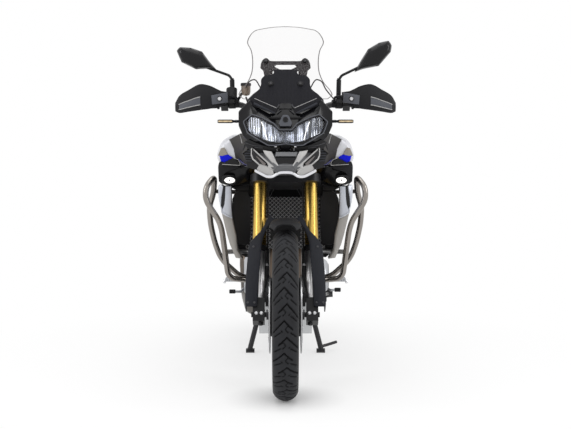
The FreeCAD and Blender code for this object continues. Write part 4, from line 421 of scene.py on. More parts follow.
# A CAD node stays as it is, drawn with merged corners and smooth round its curves
def smoothing(mergeWithin=0.00002, sharpDegrees=32):
    group = bpy.data.node_groups.new("soft_edges", "GeometryNodeTree")
    for way in ("INPUT", "OUTPUT"):
        group.interface.new_socket("Geometry", in_out=way, socket_type="NodeSocketGeometry")
    wayIn, merge, faces, edges, wayOut, angle, sharp = (group.nodes.new(kind) for kind in (
        "NodeGroupInput", "GeometryNodeMergeByDistance", "GeometryNodeSetShadeSmooth",
        "GeometryNodeSetShadeSmooth", "NodeGroupOutput", "GeometryNodeInputMeshEdgeAngle",
        "FunctionNodeCompare"))
    merge.inputs["Distance"].default_value = mergeWithin
    edges.domain = "EDGE"
    edges.inputs["Shade Smooth"].default_value = False
    sharp.operation = "GREATER_THAN"
    sharp.inputs[1].default_value = math.radians(sharpDegrees)
    chain = [wayIn, merge, faces, edges, wayOut]
    for first, second in zip(chain, chain[1:]):
        group.links.new(first.outputs[0], second.inputs[0])
    group.links.new(angle.outputs[0], sharp.inputs[0])
    group.links.new(sharp.outputs[0], edges.inputs[1])
    return group


softEdges = smoothing()
for finish, names in wornBy.items():
    for node in names.split():
        nodes[node].data.materials.clear()
        nodes[node].data.materials.append(finishes[finish])
        nodes[node].modifiers.new("soft edges", "NODES").node_group = softEdges
print("finishes given to every node")

# Mesh making: a shape is (points, [arrays of faces]), in millimetres


def gridFaces(rows, columns, closedRows=False):
    # Quads between neighbouring rows and columns of a grid of points, whose columns close on themselves
    row = np.arange(rows if closedRows else rows - 1)[:, None]
    column = np.arange(columns)[None, :]
    nextRow, nextColumn = (row + 1) % rows, (column + 1) % columns
    corners = [row * columns + column, row * columns + nextColumn, nextRow * columns + nextColumn,
               nextRow * columns + column]
    return np.stack([np.broadcast_to(c, (row.size, column.size)) for c in corners], -1).reshape(-1, 4)


def outward(points, faces):
    # Faces turned outwards: a sixth of each corner triple's product adds up to a positive volume
    total = 0.0
    for block in faces:
        first = points[block[:, 0]]
        for k in range(1, block.shape[1] - 1):
            total += np.einsum("ij,ij->", first, np.cross(points[block[:, k]], points[block[:, k + 1]]))
    return points, [block if total > 0 else block[:, ::-1] for block in faces]


def skin(rings):
    # Closed rings of points joined by quads, with a flat cap on each end
    rings = np.asarray(rings, float)
    rows, columns = rings.shape[:2]
    caps = np.array([np.arange(columns)[::-1], (rows - 1) * columns + np.arange(columns)])
    return outward(rings.reshape(-1, 3), [gridFaces(rows, columns), caps])


def loop(rings):
    # Rings that close on themselves both ways, such as a tyre
    rings = np.asarray(rings, float)
    return outward(rings.reshape(-1, 3), [gridFaces(*rings.shape[:2], True)])


def sheet(front, thick):
    # A grid of points with a copy of it set back along Y, closed round its edge
    return skin(np.concatenate([front, front[:, ::-1] + [0, thick, 0]], 1))


def joined(*shapes):
    points, faces, count = [], [], 0
    for shapePoints, shapeFaces in shapes:
        points.append(shapePoints)
        faces += [block + count for block in shapeFaces]
        count += len(shapePoints)
    return np.vstack(points), faces


def asOne(shape):  # a list of shapes is joined, and one shape stays as it is
    return joined(*shape) if isinstance(shape, list) else shape


def bothSides(shape):  # a shape, or a list of them, with its mirror image in the middle plane
    points, faces = shape = asOne(shape)
    return joined(shape, (points * [-1, 1, 1], [block[:, ::-1] for block in faces]))


def through(points, count):
    # A smooth line through points: cubic pieces whose slopes follow the neighbours
    points = np.asarray(points, float)
    flat = points.reshape(len(points), -1)
    steps = np.linalg.norm(np.diff(points.reshape(len(points), -1, points.shape[-1]), axis=0), axis=2).mean(1)
    at = np.concatenate([[0], np.cumsum(np.maximum(steps, 1e-6))])
    slope = np.gradient(flat, at, axis=0)
    where = np.linspace(0, at[-1], count)
    k = np.clip(np.searchsorted(at, where, side="right") - 1, 0, len(at) - 2)
    long = (at[k + 1] - at[k])[:, None]
    t = (where - at[k])[:, None] / long
    line = ((2 * t**3 - 3 * t**2 + 1) * flat[k] + (t**3 - 2 * t**2 + t) * long * slope[k]
            + (3 * t**2 - 2 * t**3) * flat[k + 1] + (t**3 - t**2) * long * slope[k + 1])
    return line.reshape(count, *points.shape[1:])


def unit(vectors):
    vectors = np.asarray(vectors, float)
    return vectors / np.linalg.norm(vectors, axis=-1, keepdims=True)


def swept(path, profile):
    # A closed profile (across, up) carried along a path; across is square to the axis it follows least
    way = unit(np.gradient(path, axis=0))
    side = unit(np.cross(way, np.eye(3)[np.abs(way).max(0).argmin()]))
    top = np.cross(way, side)
    profile = np.asarray(profile, float)
    if profile.ndim == 2:
        profile = np.broadcast_to(profile, (len(path), *profile.shape))
    return skin(path[:, None] + side[:, None] * profile[..., :1] + top[:, None] * profile[..., 1:])


def circle(sides, radius=1.0):
    turn = np.arange(sides) / sides * 2 * np.pi
    return np.stack([np.cos(turn), np.sin(turn)], -1) * radius


def tube(points, radius, sides=12, count=0):
    # A round tube along a smooth line through points; the radius may change along it
    path = through(points, count) if count else np.asarray(points, float)
    radii = np.interp(np.linspace(0, 1, len(path)), np.linspace(0, 1, np.size(radius)), np.ravel(radius))
    return swept(path, circle(sides) * radii[:, None, None])


def across(axis):  # two directions square to an axis
    axis = unit(axis)
    side = unit(np.cross(axis, np.eye(3)[np.abs(axis).argmin()]))
    return side, np.cross(axis, side)


def turned(profile, place, axis, sides=24, close=skin):
    # A profile of (radius, height) turned about an axis, closed at both ends, or on itself as a loop
    side, top = across(axis)
    ring = circle(sides)
    ring = ring[:, :1] * side + ring[:, 1:] * top
    profile = np.asarray(profile, float)
    return close(np.asarray(place, float) + ring * profile[:, :1, None] + unit(axis) * profile[:, 1:, None])


def hoop(profile, place, axis, sides=48):
    return turned(profile, place, axis, sides, loop)


def inset(outline, distance):
    # An outline moved inwards: each corner along the mean of its two sides' normals
    outline = np.asarray(outline, float)
    before, after = np.roll(outline, 1, 0), np.roll(outline, -1, 0)
    wayIn, wayOut = unit(outline - before), unit(after - outline)
    area = np.sum(outline[:, 0] * after[:, 1] - after[:, 0] * outline[:, 1])
    along = unit(wayIn + wayOut + 1e-9)
    lean = np.maximum(np.einsum("ij,ij->i", along, wayOut), 0.5)
    return outline + along[:, ::-1] * [-1, 1] * np.sign(area) * distance / lean[:, None]


def plate(outline, thick, place, right, up, rounding):
    # A plate from a flat outline, its rims rounded over a quarter circle in three steps
    right, up = unit(right), unit(up)
    out = unit(np.cross(right, up))
    edge = [(rounding * (1 - math.sin(t)), rounding * (1 - math.cos(t)))
            for t in np.linspace(0, np.pi / 2, 4)]
    rings = []
    for shrink, height in edge + [(a, thick - b) for a, b in reversed(edge)]:
        flat = inset(outline, shrink) if shrink > 1e-6 else np.asarray(outline, float)
        rings.append(np.asarray(place, float) + flat[:, :1] * right + flat[:, 1:] * up + out * height)
    return skin(rings)


def relief(points, depth, rounding=1.5):
    # A raised panel: its outline pushed back along Y, with a rolled front rim
    points = np.asarray(points, float)
    rings = []
    for shrink, back in ((rounding, 0), (rounding * 0.3, rounding * 0.3), (0, rounding), (0, depth)):
        flat = inset(points[:, [0, 2]], shrink) if shrink else points[:, [0, 2]]
        rings.append(np.stack([flat[:, 0], points[:, 1] + back, flat[:, 1]], -1))
    return skin(rings)


def eased(before, corner, after, radius, room, steps):
    # Corners cut back on both sides and joined by (1 - t)^2 start + 2 t (1 - t) corner + t^2 end
    reach = np.minimum(np.linalg.norm(corner - before, axis=1), np.linalg.norm(after - corner, axis=1)) * room
    reach = np.minimum(reach, np.broadcast_to(radius, len(corner)))[:, None]
    start, end = corner + unit(before - corner) * reach, corner + unit(after - corner) * reach
    t = np.linspace(0, 1, steps + 1)[None, :, None]
    curve = (1 - t) ** 2 * start[:, None] + 2 * t * (1 - t) * corner[:, None] + t**2 * end[:, None]
    return curve.reshape(-1, corner.shape[1])


def roundedOutline(corners, radius, steps=4):  # a closed outline with all its corners eased
    corners = np.asarray(corners, float)
    return eased(np.roll(corners, 1, 0), corners, np.roll(corners, -1, 0), radius, 0.45, steps)


def bent(points, radius, steps=8):  # an open path with its inner corners eased
    points = np.asarray(points, float)
    curve = eased(points[:-2], points[1:-1], points[2:], radius, 0.48, steps)
    return np.vstack([points[:1], curve, points[-1:]])


def whole(half):  # a closed outline, flat or not, from its +X half
    half = np.asarray(half, float)
    other = half[::-1]
    return np.vstack([half, other[other[:, 0] > 0] * ([-1] + [1] * (half.shape[1] - 1))])


def at(axis, value, outline):  # a flat outline placed across one axis: 0 for X, 1 for Y, 2 for Z
    return np.insert(np.asarray(outline, float), axis, value, axis=1)


def rolled(rings, reach):
    # A skin whose two ends are drawn in over a quarter circle
    ends = []
    for first, second in ((rings[0], rings[1]), (rings[-1], rings[-2])):
        middle = first.mean(0)
        radius = np.linalg.norm(first - middle, axis=1).mean()
        way = unit(second.mean(0) - middle)
        ends.append([middle + (first - middle) * (1 - reach * (1 - math.sin(t)) / radius)
                     + way * reach * (1 - math.cos(t)) for t in (0.0, 0.5, 1.0, np.pi / 2)])
    return skin(np.array(ends[0] + list(rings[1:-1]) + ends[1][::-1]))


def bodywork(outlines, corner, count, ends):
    # A soft-edged skin through outlines, with rounded corners and rolled ends
    return rolled(through(np.array([roundedOutline(outline, corner, 3) for outline in outlines]), count),
                  ends)


def capBolt(place, axis, size=8.0):
    # A round-headed screw with a six-sided socket, sunk by a short flange
    r = size * 0.75
    return turned([(r * 1.25, -0.5), (r * 1.25, 0.6), (r, 0.8), (r, size * 0.55), (r * 0.86, size * 0.7),
                   (r * 0.5, size * 0.7), (r * 0.5, size * 0.35)], place, axis, 12)


def hexNut(place, axis, size=12.0):  # on its washer, with the stud's end
    r, high = size * 0.58, size * 0.6
    washer = turned([(r * 1.3, -0.5), (r * 1.3, 1.2), (r * 1.1, 1.3)], place, axis, 18)
    body = turned([(r, 1.0), (r, high * 0.85), (r * 0.82, high)], place, axis, 6)
    stud = turned([(size * 0.3, high * 0.7), (size * 0.3, high * 1.25), (size * 0.2, high * 1.4)], place,
                  axis, 10)
    return joined(washer, body, stud)


def subdivided(thing, levels):
    smooth = thing.modifiers.new("smooth form", "SUBSURF")
    smooth.levels = smooth.render_levels = levels


def addPiece(name, shape, finish, body="chassis", sharp=35.0, levels=0, instead=None):
    points, faces = asOne(shape)
    counts = np.concatenate([np.full(len(block), block.shape[1]) for block in faces])
    corners = np.concatenate([block.ravel() for block in faces])
    mesh = bpy.data.meshes.new(name)
    mesh.vertices.add(len(points))
    mesh.vertices.foreach_set("co", (points / metre).astype(np.float32).ravel())
    mesh.loops.add(len(corners))
    mesh.loops.foreach_set("vertex_index", corners.astype(np.int32))
    mesh.polygons.add(len(counts))
    mesh.polygons.foreach_set("loop_start", (np.cumsum(counts) - counts).astype(np.int32))
    mesh.polygons.foreach_set("use_smooth", np.ones(len(counts), bool))
    mesh.update(calc_edges=True)
    mesh.validate()
    mesh.materials.append(finishes[finish])
    thing = bpy.data.objects.new(name, mesh)
    bpy.context.scene.collection.objects.link(thing)
    if levels:
        subdivided(thing, levels)
    else:
        mesh.set_sharp_from_angle(angle=math.radians(sharp))
    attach(thing, body)
    if instead:
        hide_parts(instead)
    instead or finish in wornBy
    return thing


def addPair(name, shape, *rest, **more):  # a piece together with its mirror image
    return addPiece(name, bothSides(shape), *rest, **more)


def addPanels(form, rows):  # raised panels on both sides, a row each: name, outline, depth, rounding, finish
    for name, outline, depth, rounding, finish in rows:
        addPair(name, relief(form[outline], depth, rounding), finish)


# Tyres: a dense skin over casing and tread


def groove(distance, half, wall):  # 1 in a groove, 0 beside it, with a smooth wall between
    share = np.clip((half + wall - np.abs(distance)) / wall, 0, 1)
    return share * share * (3 - 2 * share)


# What both treads share: shares of the main grooves' slope, width and depth, and lengths
tread = {
    "slantSlope": 0.7, "slitWidth": 0.55, "waveWidth": 0.6, "lowDepth": 0.9, "waveRise": 11, "waveLong": 6,
    "endWall": 3, "rimWall": 4, "lip": 9, "crown": 0.53, "flank": 0.62, "notTread": 999.0,
}


def treadDepth(along, aside, tyre):
    # Chevrons whose point leads alternately left and right of the middle, with slits between them
    pitch = 2 * np.pi * tyre["radius"] / tyre["blocks"]
    half, wall, endWall = tyre["grooveHalf"], tyre["wall"], tread["endWall"]
    row = along + tyre["slope"] * np.abs(aside)
    odd = np.floor(row / pitch) % 2 * 2 - 1
    moved = aside - odd * tyre["shift"]
    row = along + tyre["slope"] * np.abs(moved)
    arm = groove(row % pitch - pitch / 2, half, wall)
    arm *= groove(moved, np.where(moved * odd > 0, tyre["armLong"], tyre["armShort"]), endWall)
    slant = (along + tyre["slope"] * tread["slantSlope"] * np.abs(aside) + pitch / 2) % pitch - pitch / 2
    slit = groove(slant, half * tread["slitWidth"], wall)
    slit *= groove(np.abs(aside) - tyre["slitAt"], tyre["slitHalf"], endWall) * tread["lowDepth"]
    bow = tread["waveRise"] * np.sin(aside / tread["waveLong"]) * odd
    wave = (along + bow + pitch / 2) % pitch - pitch / 2
    middle = groove(wave, half * tread["waveWidth"], wall) * groove(aside, tyre["waveHalf"], endWall)
    middle *= tread["lowDepth"]
    return tyre["depth"] * np.maximum(np.maximum(arm, slit), middle)


def tyreShape(tyre, axle):  # the shape, and 0 to 1 for how deep each point is cut
    half, lip, side = tyre["rimHalf"], tyre["seat"] + tread["lip"], tyre["width"] / 2
    crown, wall = tyre["width"] * tread["crown"], tyre["width"] * tread["flank"]
    shoulder = tyre["radius"] - crown + math.sqrt(crown**2 - side**2)
    # Side wall: an arc of radius wall from the rim's lip to the shoulder
    chord = np.array([side - half, shoulder - lip])
    out = np.array([chord[1], -chord[0]]) / np.linalg.norm(chord)
    bulge = wall - math.sqrt(wall**2 - chord @ chord / 4)
    share = np.linspace(0, 1, 11)[:-1, None]
    flank = np.array([half, lip]) + chord * share + out * bulge * 4 * share * (1 - share)
    flank = np.vstack([[[half, tyre["seat"] + 0.5], [half, lip]], flank[1:]])
    turn = np.linspace(-1, 1, tyre["across"]) * math.asin(side / crown)
    top = np.stack([crown * np.sin(turn), tyre["radius"] - crown + crown * np.cos(turn)], -1)
    section = np.vstack([flank * [-1.0, 1], top, flank[::-1]])
    away = np.full(len(flank), tread["notTread"])
    aside = np.concatenate([-away, crown * turn, away])
    angle = np.arange(tyre["around"]) / tyre["around"] * 2 * np.pi
    depth = treadDepth(angle[:, None] * tyre["radius"], aside[None, :], tyre)
    depth *= groove(aside[None, :], tyre["treadHalf"], tread["rimWall"])
    nearest = np.clip(aside / crown, -1.2, 1.2)
    out = np.stack([np.sin(nearest), np.cos(nearest)], -1) * (np.abs(aside) < tread["notTread"])[:, None]
    flat = section[None] - out[None] * depth[..., None]
    points = np.stack([flat[..., 0], -flat[..., 1] * np.cos(angle)[:, None],
                       flat[..., 1] * np.sin(angle)[:, None]], -1)
    return loop(points + axle), (depth / tyre["depth"]).ravel()


frontTyre = {
    "radius": 331, "width": 98, "seat": 241, "rimHalf": 34, "blocks": 34, "slope": 1.0, "shift": 5,
    "depth": 6, "grooveHalf": 2.3, "wall": 2.0, "armLong": 50, "armShort": 32, "slitAt": 33, "slitHalf": 13,
    "waveHalf": 15, "treadHalf": 54, "across": 50, "around": 648,
}
rearTyre = {
    "radius": 320, "width": 146, "seat": 216, "rimHalf": 52, "blocks": 30, "slope": 0.7, "shift": 7,
    "depth": 7, "grooveHalf": 5.0, "wall": 3.0, "armLong": 76, "armShort": 46, "slitAt": 52, "slitHalf": 16,
    "waveHalf": 14, "treadHalf": 82, "across": 58, "around": 600,
}
for end, tyre, axle in (("front", frontTyre, frontAxle), ("rear", rearTyre, rearAxle)):
    shape, cut = tyreShape(tyre, axle)
    piece = addPiece(end + "_tyre_tread", shape, end + "Rubber", end + "_wheel", 60, instead=end + "_tyre")
    # The depth of cut feeds the rubber's painted shade in the grooves
    piece.data.attributes.new("cut", "FLOAT", "POINT").data.foreach_set("value", cut.astype(np.float32))
print("tyres made")

# Beak: faceted blades either side of a dark centre, over a lower lip painted white as a highlight
beak = {
    "body": [
        (-838, [(0, 906), (26, 903), (34, 896), (28, 888), (0, 886)]),
        (-800, [(0, 926), (44, 924), (60, 906), (44, 878), (0, 877)]),
        (-740, [(0, 950), (80, 952), (100, 924), (68, 871), (0, 869)]),
        (-684, [(0, 962), (112, 962), (118, 938), (96, 890), (0, 870)]),
        (-622, [(0, 966), (114, 966), (120, 942), (104, 902), (0, 880)]),
    ],
    "innerBlade": [(53.3, -760, 963.3), (87.7, -735, 968.4), (80.2, -752, 952), (33, -822, 900.5),
        (26.7, -826, 910.5)],
    "outerUpper": [(129.3, -706, 978.3), (134.7, -700, 974.2), (135.4, -706, 946.1), (128.6, -722, 931.2),
        (102, -762, 910.4), (70.5, -790, 904.6), (69, -792, 908.6), (100, -760, 915.5), (124.5, -724, 936),
        (130.2, -708, 949), (130.4, -704, 966)],
    "outerLower": [(129, -704, 976.7), (123.2, -710, 965.5), (70.5, -786, 920.3), (65.6, -794, 911),
        (69.6, -792, 903.9), (48.8, -812, 890.3), (39.3, -822, 894.6), (42.5, -818, 905.5)],
    "cheek": [(101.9, -764, 912.5), (113.7, -742, 891), (85.7, -780, 876.5), (54.4, -812, 868.3),
        (42.4, -828, 882.3), (48.8, -818, 892.1), (71.2, -794, 906.3)],
    "vent": [(69, -780, 918.5), (124, -704, 970), (132, -702, 968), (132, -704, 947), (125, -718, 933),
        (99, -758, 912), (70.5, -784, 906)],
    "slat": [(116, -726, 945), (110, -732, 944.5), (76, -784, 917), (78, -784, 909.5), (86, -776, 912)],
    "lip": [(116.9, -742, 889.4), (97.9, -768, 880), (70.3, -802, 867.9), (47.9, -826, 868.9),
        (26.6, -836, 884.2), (0, -838, 885.8)],
}
beakBody = bodywork([at(1, y, whole(half)) for y, half in beak["body"]], 6, 24, 4)
addPiece("beak_body", beakBody, "greyPaint", instead="beak")
blades = joined(relief(beak["innerBlade"], 24, 2), relief(beak["outerUpper"], 22, 1.5),
                relief(beak["outerLower"], 22, 1.5), relief(beak["cheek"], 26, 2.5))
addPair("beak_blades", blades, "silverPaint", sharp=30)
addPanels(beak, [("beak_vents", "vent", 12, 1, "glossBlack"), ("beak_slats", "slat", 10, 1, "sandDark")])
lipProfile = roundedOutline([(-3.2, -5), (3.2, -5), (3.2, 5), (-3.2, 5)], 2)
# The lip is a real edge; its white paint is a painted highlight along the beak's lower edge
addPiece("beak_lip", swept(bent(whole(beak["lip"]), 12, 5), lipProfile), "whitePaint")
beakCentre = {
    "strip": [(-37.1, -796, 962.4), (46.6, -796, 962.4), (41, -806, 945.3), (-39.4, -806, 945.3)],
    "recess": [(-39.5, -800, 945.2), (41, -800, 945.2), (29.1, -818, 910.2), (-29.9, -818, 910.2)],
    "apron": [(-32.9, -836, 910), (29, -836, 910), (42.3, -836, 891.2), (30.5, -838, 884.2),
        (-32.9, -838, 884.2), (-47, -836, 891.2)],
}
for name, depth, rounding, finish in (("strip", 30, 2, "greyPaint"), ("recess", 22, 1, "glossBlack"),
                                      ("apron", 20, 2, "greyPaint")):
    addPiece("beak_" + name, relief(beakCentre[name], depth, rounding), finish)
print("beak made")


# Headlight: lens, chromed chambers, light bars and its black surround
lensRows = np.array([
    (0, 1040, 996, -742), (25, 1040, 996, -741), (36, 1052, 997, -740), (49, 1063, 999, -738),
    (78, 1077, 1006, -730), (107, 1094, 1018, -718), (136, 1099, 1031, -700), (153, 1078, 1060, -688),
])  # distance from the middle, top, bottom and depth
headlight = {
    "opening": [(0, 1040), (25, 1040), (49, 1063), (65, 1071), (94, 1087), (134, 1099), (153, 1078),
        (149, 1058), (140, 1033), (105, 1018), (70, 1004), (40, 998), (0, 996)],
    "bezel": [(0, 1048), (23, 1048), (44, 1072), (62, 1081), (93, 1096), (131, 1108), (166, 1079),
        (158, 1057), (149, 1034), (108, 1009), (68, 986), (44, 985), (0, 992)],
    "barTop": (93.7, -716, 1078.3), "barLow": (71.3, -722, 1006.6),
}


def acrossLens(x):  # top, bottom and depth of the lens at distances from the middle
    return [np.interp(np.abs(x), lensRows[:, 0], lensRows[:, k]) for k in (1, 2, 3)]


def lampSheet(x, rows, shrink, push, bulge, thick):
    # y = depth of the lens + push + bulge (2 t - 1)^2, where t runs from the lens's bottom to its top
    top, low, depth = acrossLens(x)
    t = np.linspace(0, 1, rows)[None, :]
    z = (low + shrink)[:, None] + (top - low - 2 * shrink)[:, None] * t
    y = (depth + push)[:, None] + bulge * (2 * t - 1) ** 2
    return sheet(np.stack([np.broadcast_to(x[:, None], z.shape), y, z], -1), thick)


def reflector(start, end, deep, shrink, ridge, rise):
    # Upright ridges: push = deep + rise |sin(pi x / ridge)|
    x = np.linspace(start, end, 90)
    return lampSheet(x, 9, shrink, deep + rise * np.abs(np.sin(np.pi * x / ridge)), -10, 2)


lensSkin = lampSheet(np.linspace(-152, 152, 61), 13, 0, 0, 3, 4)
addPiece("headlight_lens_skin", lensSkin, "clearLens", instead="headlight_lens", sharp=50)
# The chambers' reflector finish carries painted reflections in its colour
outerChamber = reflector(98, 146, 22, 3, 9, 2.5)
innerChamber = reflector(34, 92, 24, 2, 7.5, 3)
addPair("headlight_chambers", joined(outerChamber, innerChamber), "reflector", sharp=60)
addPiece("headlight_middle", reflector(-33, 33, 14, 2, 11, 5), "reflector", sharp=60)
barTop, barLow = np.array(headlight["barTop"]), np.array(headlight["barLow"])
bar = tube([barTop, (barTop + barLow) / 2 + [-2, -2, 0], barLow], 1.5, 8, 12)
addPair("headlight_light_bars", bar, "lampLight")


def lampRing(name, ahead, grow=0.0):
    # One of the lamp's outlines, bowed like the lens and set ahead of it
    flat = roundedOutline(inset(whole(headlight[name]), -grow), 5, 3)
    return np.stack([flat[:, 0], acrossLens(flat[:, 0])[2] - ahead, flat[:, 1]], -1)


housingBack = lampRing("opening", 0) * [1, 0, 1] + [0, -604.0, 0]
addPiece("headlight_housing", skin([lampRing("opening", -30), housingBack]), "glossBlack",
         instead="headlight_unit")
rimSection = circle(8, 2.4)
rimLine = lampRing("bezel", 6.5, -1)
rimOut = unit(np.roll(rimLine, -1, 0) - np.roll(rimLine, 1, 0))[:, [2, 1, 0]] * [1, 0, -1]
rimTube = loop(rimLine[:, None] + rimOut[:, None] * rimSection[:, :1]
               + np.array([0, -1.0, 0]) * rimSection[:, 1:])
addPiece("headlight_rim_line", rimTube, "slateBlue")
print("headlight made")

# Cowl: the dark mask round the headlight with its ridges and the round sensor in the middle
cowl = {
    "outer": [(0, 1142), (22, 1140), (38, 1112), (85, 1127), (131, 1142), (139, 1166), (184, 1118),
        (184, 1063), (166, 1022), (139, 997), (84, 974), (30, 984), (0, 985)],
    "ridge": [(39.2, -722, 1113.2), (121.2, -700, 1153.3), (124.9, -696, 1150.4), (123.1, -698, 1146.1),
        (44.1, -722, 1108.4)],
    "brow": [(-4.2, -726, 1126.3), (12.7, -726, 1126.9), (34.9, -730, 1109.5), (53, -732, 1096.3),
        (89.3, -722, 1090.3), (127.9, -700, 1112.9), (153.8, -690, 1096.7), (132.8, -698, 1108.7),
        (92.1, -732, 1094.8), (61.9, -742, 1080.6), (43.9, -744, 1070.7), (23.4, -748, 1047),
        (-4.2, -750, 1047)],
    "sensor": [(-4.2, -752, 1104), (9.5, -752, 1104), (16, -753, 1094), (25.5, -754, 1071),
        (20.5, -754, 1060.5), (-4.2, -754, 1060.5)],
    "hood": [(-4.2, -716, 1150), (18.7, -716, 1150), (35, -722, 1130), (12.7, -726, 1127.5),
        (-4.2, -726, 1128.1)],
    "chin": [(-4.2, -748, 993.1), (18, -748, 993.1), (16.9, -742, 963), (-4.2, -742, 962.4)],
    "chinLine": [(157.1, -690, 996), (120.2, -704, 985.2), (86.6, -716, 983.6)],
    "lips": [(24.7, -724, 1145), (34.3, -728, 1131.1), (121.1, -702, 1169)],
    "edge": [(15.7, -730, 1124.5), (33.7, -734, 1110.6)],
}
cowlOuter = at(1, -686.0, roundedOutline(whole(cowl["outer"]), 5, 3))
bezelRing = lampRing("bezel", 3, 1.5)
between = [bezelRing * (1 - share) + cowlOuter * share for share in (0.3, 0.65, 0.94)]
back = (cowlOuter - [0, 0, 1060]) * [0.93, 1, 0.93] + [0, 106, 1060]
innerBack = lampRing("opening", 0) * [1, 0, 1] + [0, -600, 0]
cowlRings = [lampRing("opening", -44), lampRing("opening", 0), lampRing("opening", 4, 1.5),
             lampRing("bezel", 6, -3), lampRing("bezel", 5.5), bezelRing, *between, cowlOuter + [0, 4, 0],
             cowlOuter + [0, 74, 0], back, innerBack]
addPiece("cowl_mask", loop(cowlRings), "glossBlack", instead="front_cowl", sharp=32)
addPair("cowl_ridges", relief(cowl["ridge"], 20, 1.6), "slateDark")
for name, outline, depth, rounding, finish in (
        ("cowl_brow", "brow", 30, 2, "glossBlack"), ("cowl_hood", "hood", 30, 1.5, "glossBlack"),
        ("sensor_block", "sensor", 26, 2.5, "slateBlue"), ("cowl_chin", "chin", 30, 2, "glossBlack")):
    addPiece(name, relief(whole(cowl[outline]), depth, rounding), finish)
sensorEye = turned([(11, -3), (11, 1.5), (9.5, 2.4), (8, 1.2), (5, 2.4), (2, 3)], (0, -754.5, 1086),
                   (0, -1, 0), 28)
addPiece("sensor_eye", sensorEye, "glossBlack")
lines = joined(tube(cowl["chinLine"], 1.5, 8, 16), tube(cowl["edge"], 1.4, 8, 4),
               tube(cowl["lips"][:2], 1.5, 8, 4))
addPair("cowl_lines", lines, "greyPlastic")
addPair("panel_lips", tube(cowl["lips"][1:], 0.9, 8, 6), "silverPaint")
print("cowl made")

# Windscreen: y = middle line + x squared over twice the bow radius, at every level
screenForm = {
    "levels": [(1170, 168), (1188, 187), (1204, 180), (1232, 156), (1274, 137), (1320, 133), (1369, 140),
        (1408, 156), (1430, 148), (1444, 138), (1453, 127), (1461, 92), (1466.5, 52), (1468.7, 14)],
    "panel": [(1112, 126), (1141, 148), (1162, 152), (1184, 134), (1215, 101), (1226, 98), (1248, 97),
        (1261, 86), (1269, 50), (1287, 44)],
    "bow": 250.0, "thick": 3.6, "foot": (-640, 1169), "lean": (210, 307),
}


def screenMiddle(z):  # y of the screen's middle line at a height: it leans back by so much in so much rise
    (y, low), (back, rise) = screenForm["foot"], screenForm["lean"]
    return y + (z - low) * back / rise


def bowedSheet(levels, ahead, thick, count, columns=41):
    # Levels of (height, half width) with the screen's lean and bow
    levels = through(np.array(levels, float), count)
    z, half = levels[:, :1], levels[:, 1:]
    x = half * np.linspace(-1, 1, columns)
    front = np.stack([x, screenMiddle(z) + ahead + x * x / (2 * screenForm["bow"]),
                      np.broadcast_to(z, x.shape)], -1)
    return front, sheet(front, thick)


screenFront, screenShape = bowedSheet(screenForm["levels"], 0, screenForm["thick"], 60)
addPiece("windscreen_sheet", screenShape, "clearScreen", instead="windscreen", sharp=50)
edgeLine = np.vstack([screenFront[:, -1], screenFront[::-1, 0]]) + np.array([0, screenForm["thick"] / 2, 0])
addPiece("windscreen_edge", loop(edgeLine[:, None] + circle(6, 2.0) @ np.array([[1.0, 0, 0], [0, 0.7, 0.7]])),
         "screenEdge")
addPiece("screen_panel_skin", bowedSheet(screenForm["panel"], -5.5, 5.0, 40)[1], "meshPanel",
         instead="screen_panel", sharp=50)
print("screen made")

# Hand guards: a bowed shell with a pad between two ribs, a plate and its bolt
guardForm = {
    "slices": [(234, -398, 1168, 1203), (266, -408, 1148, 1207), (313, -412, 1134, 1229),
        (351, -410, 1129, 1236), (402, -396, 1122, 1213), (446, -366, 1117, 1187), (464, -344, 1124, 1160)],
    "plate": [(238, 1160), (304, 1151), (307, 1189), (240, 1201)], "ribs": [0.2, 0.5],
    "rows": 44, "padRows": (20, 38), "bolt": (273, -421, 1175),
}


def guardSurface(share):
    # y = y of the slice + 8 (2 share - 1)^2, where share runs from the lower to the upper rim
    x, y, low, high = through(guardForm["slices"], guardForm["rows"]).T[:, :, None]
    share = np.asarray(share, float)[None, :]
    return np.stack([np.broadcast_to(x, (guardForm["rows"], share.size)), y + 8 * (2 * share - 1) ** 2,
                     low + (high - low) * share], -1)


padRows = slice(*guardForm["padRows"])
guardRibs = [swept(guardSurface([share])[padRows, 0] + [0, -2.0, 0], circle(8) * [2.6, 2.0])
             for share in guardForm["ribs"]]
guardPad = guardSurface(np.linspace(*guardForm["ribs"], 9))[padRows] + [0, -1.6, 0]
guardPlate = relief([(x, -421, z) for x, z in guardForm["plate"]], 12, 3)
addPair("hand_guard_shells", sheet(guardSurface(np.linspace(0, 1, 17)), 5), "softBlack", "steering", sharp=50)
addPair("hand_guard_pads", sheet(guardPad, 3), "slateBlue", "steering", sharp=50)
addPair("hand_guard_ribs", guardRibs, "silverPaint", "steering")
addPair("hand_guard_plates", guardPlate, "slateBlue", "steering")
boltRing = turned([(11, -1), (11, 1), (9, 2), (7.5, 1), (7, -1)], guardForm["bolt"], (0, -1, 0), 24)
addPair("hand_guard_bolt_rings", boltRing, "glossBlack", "steering")
addPair("hand_guard_bolts", capBolt(guardForm["bolt"], (0, -1, 0), 8), "brightBolt", "steering")

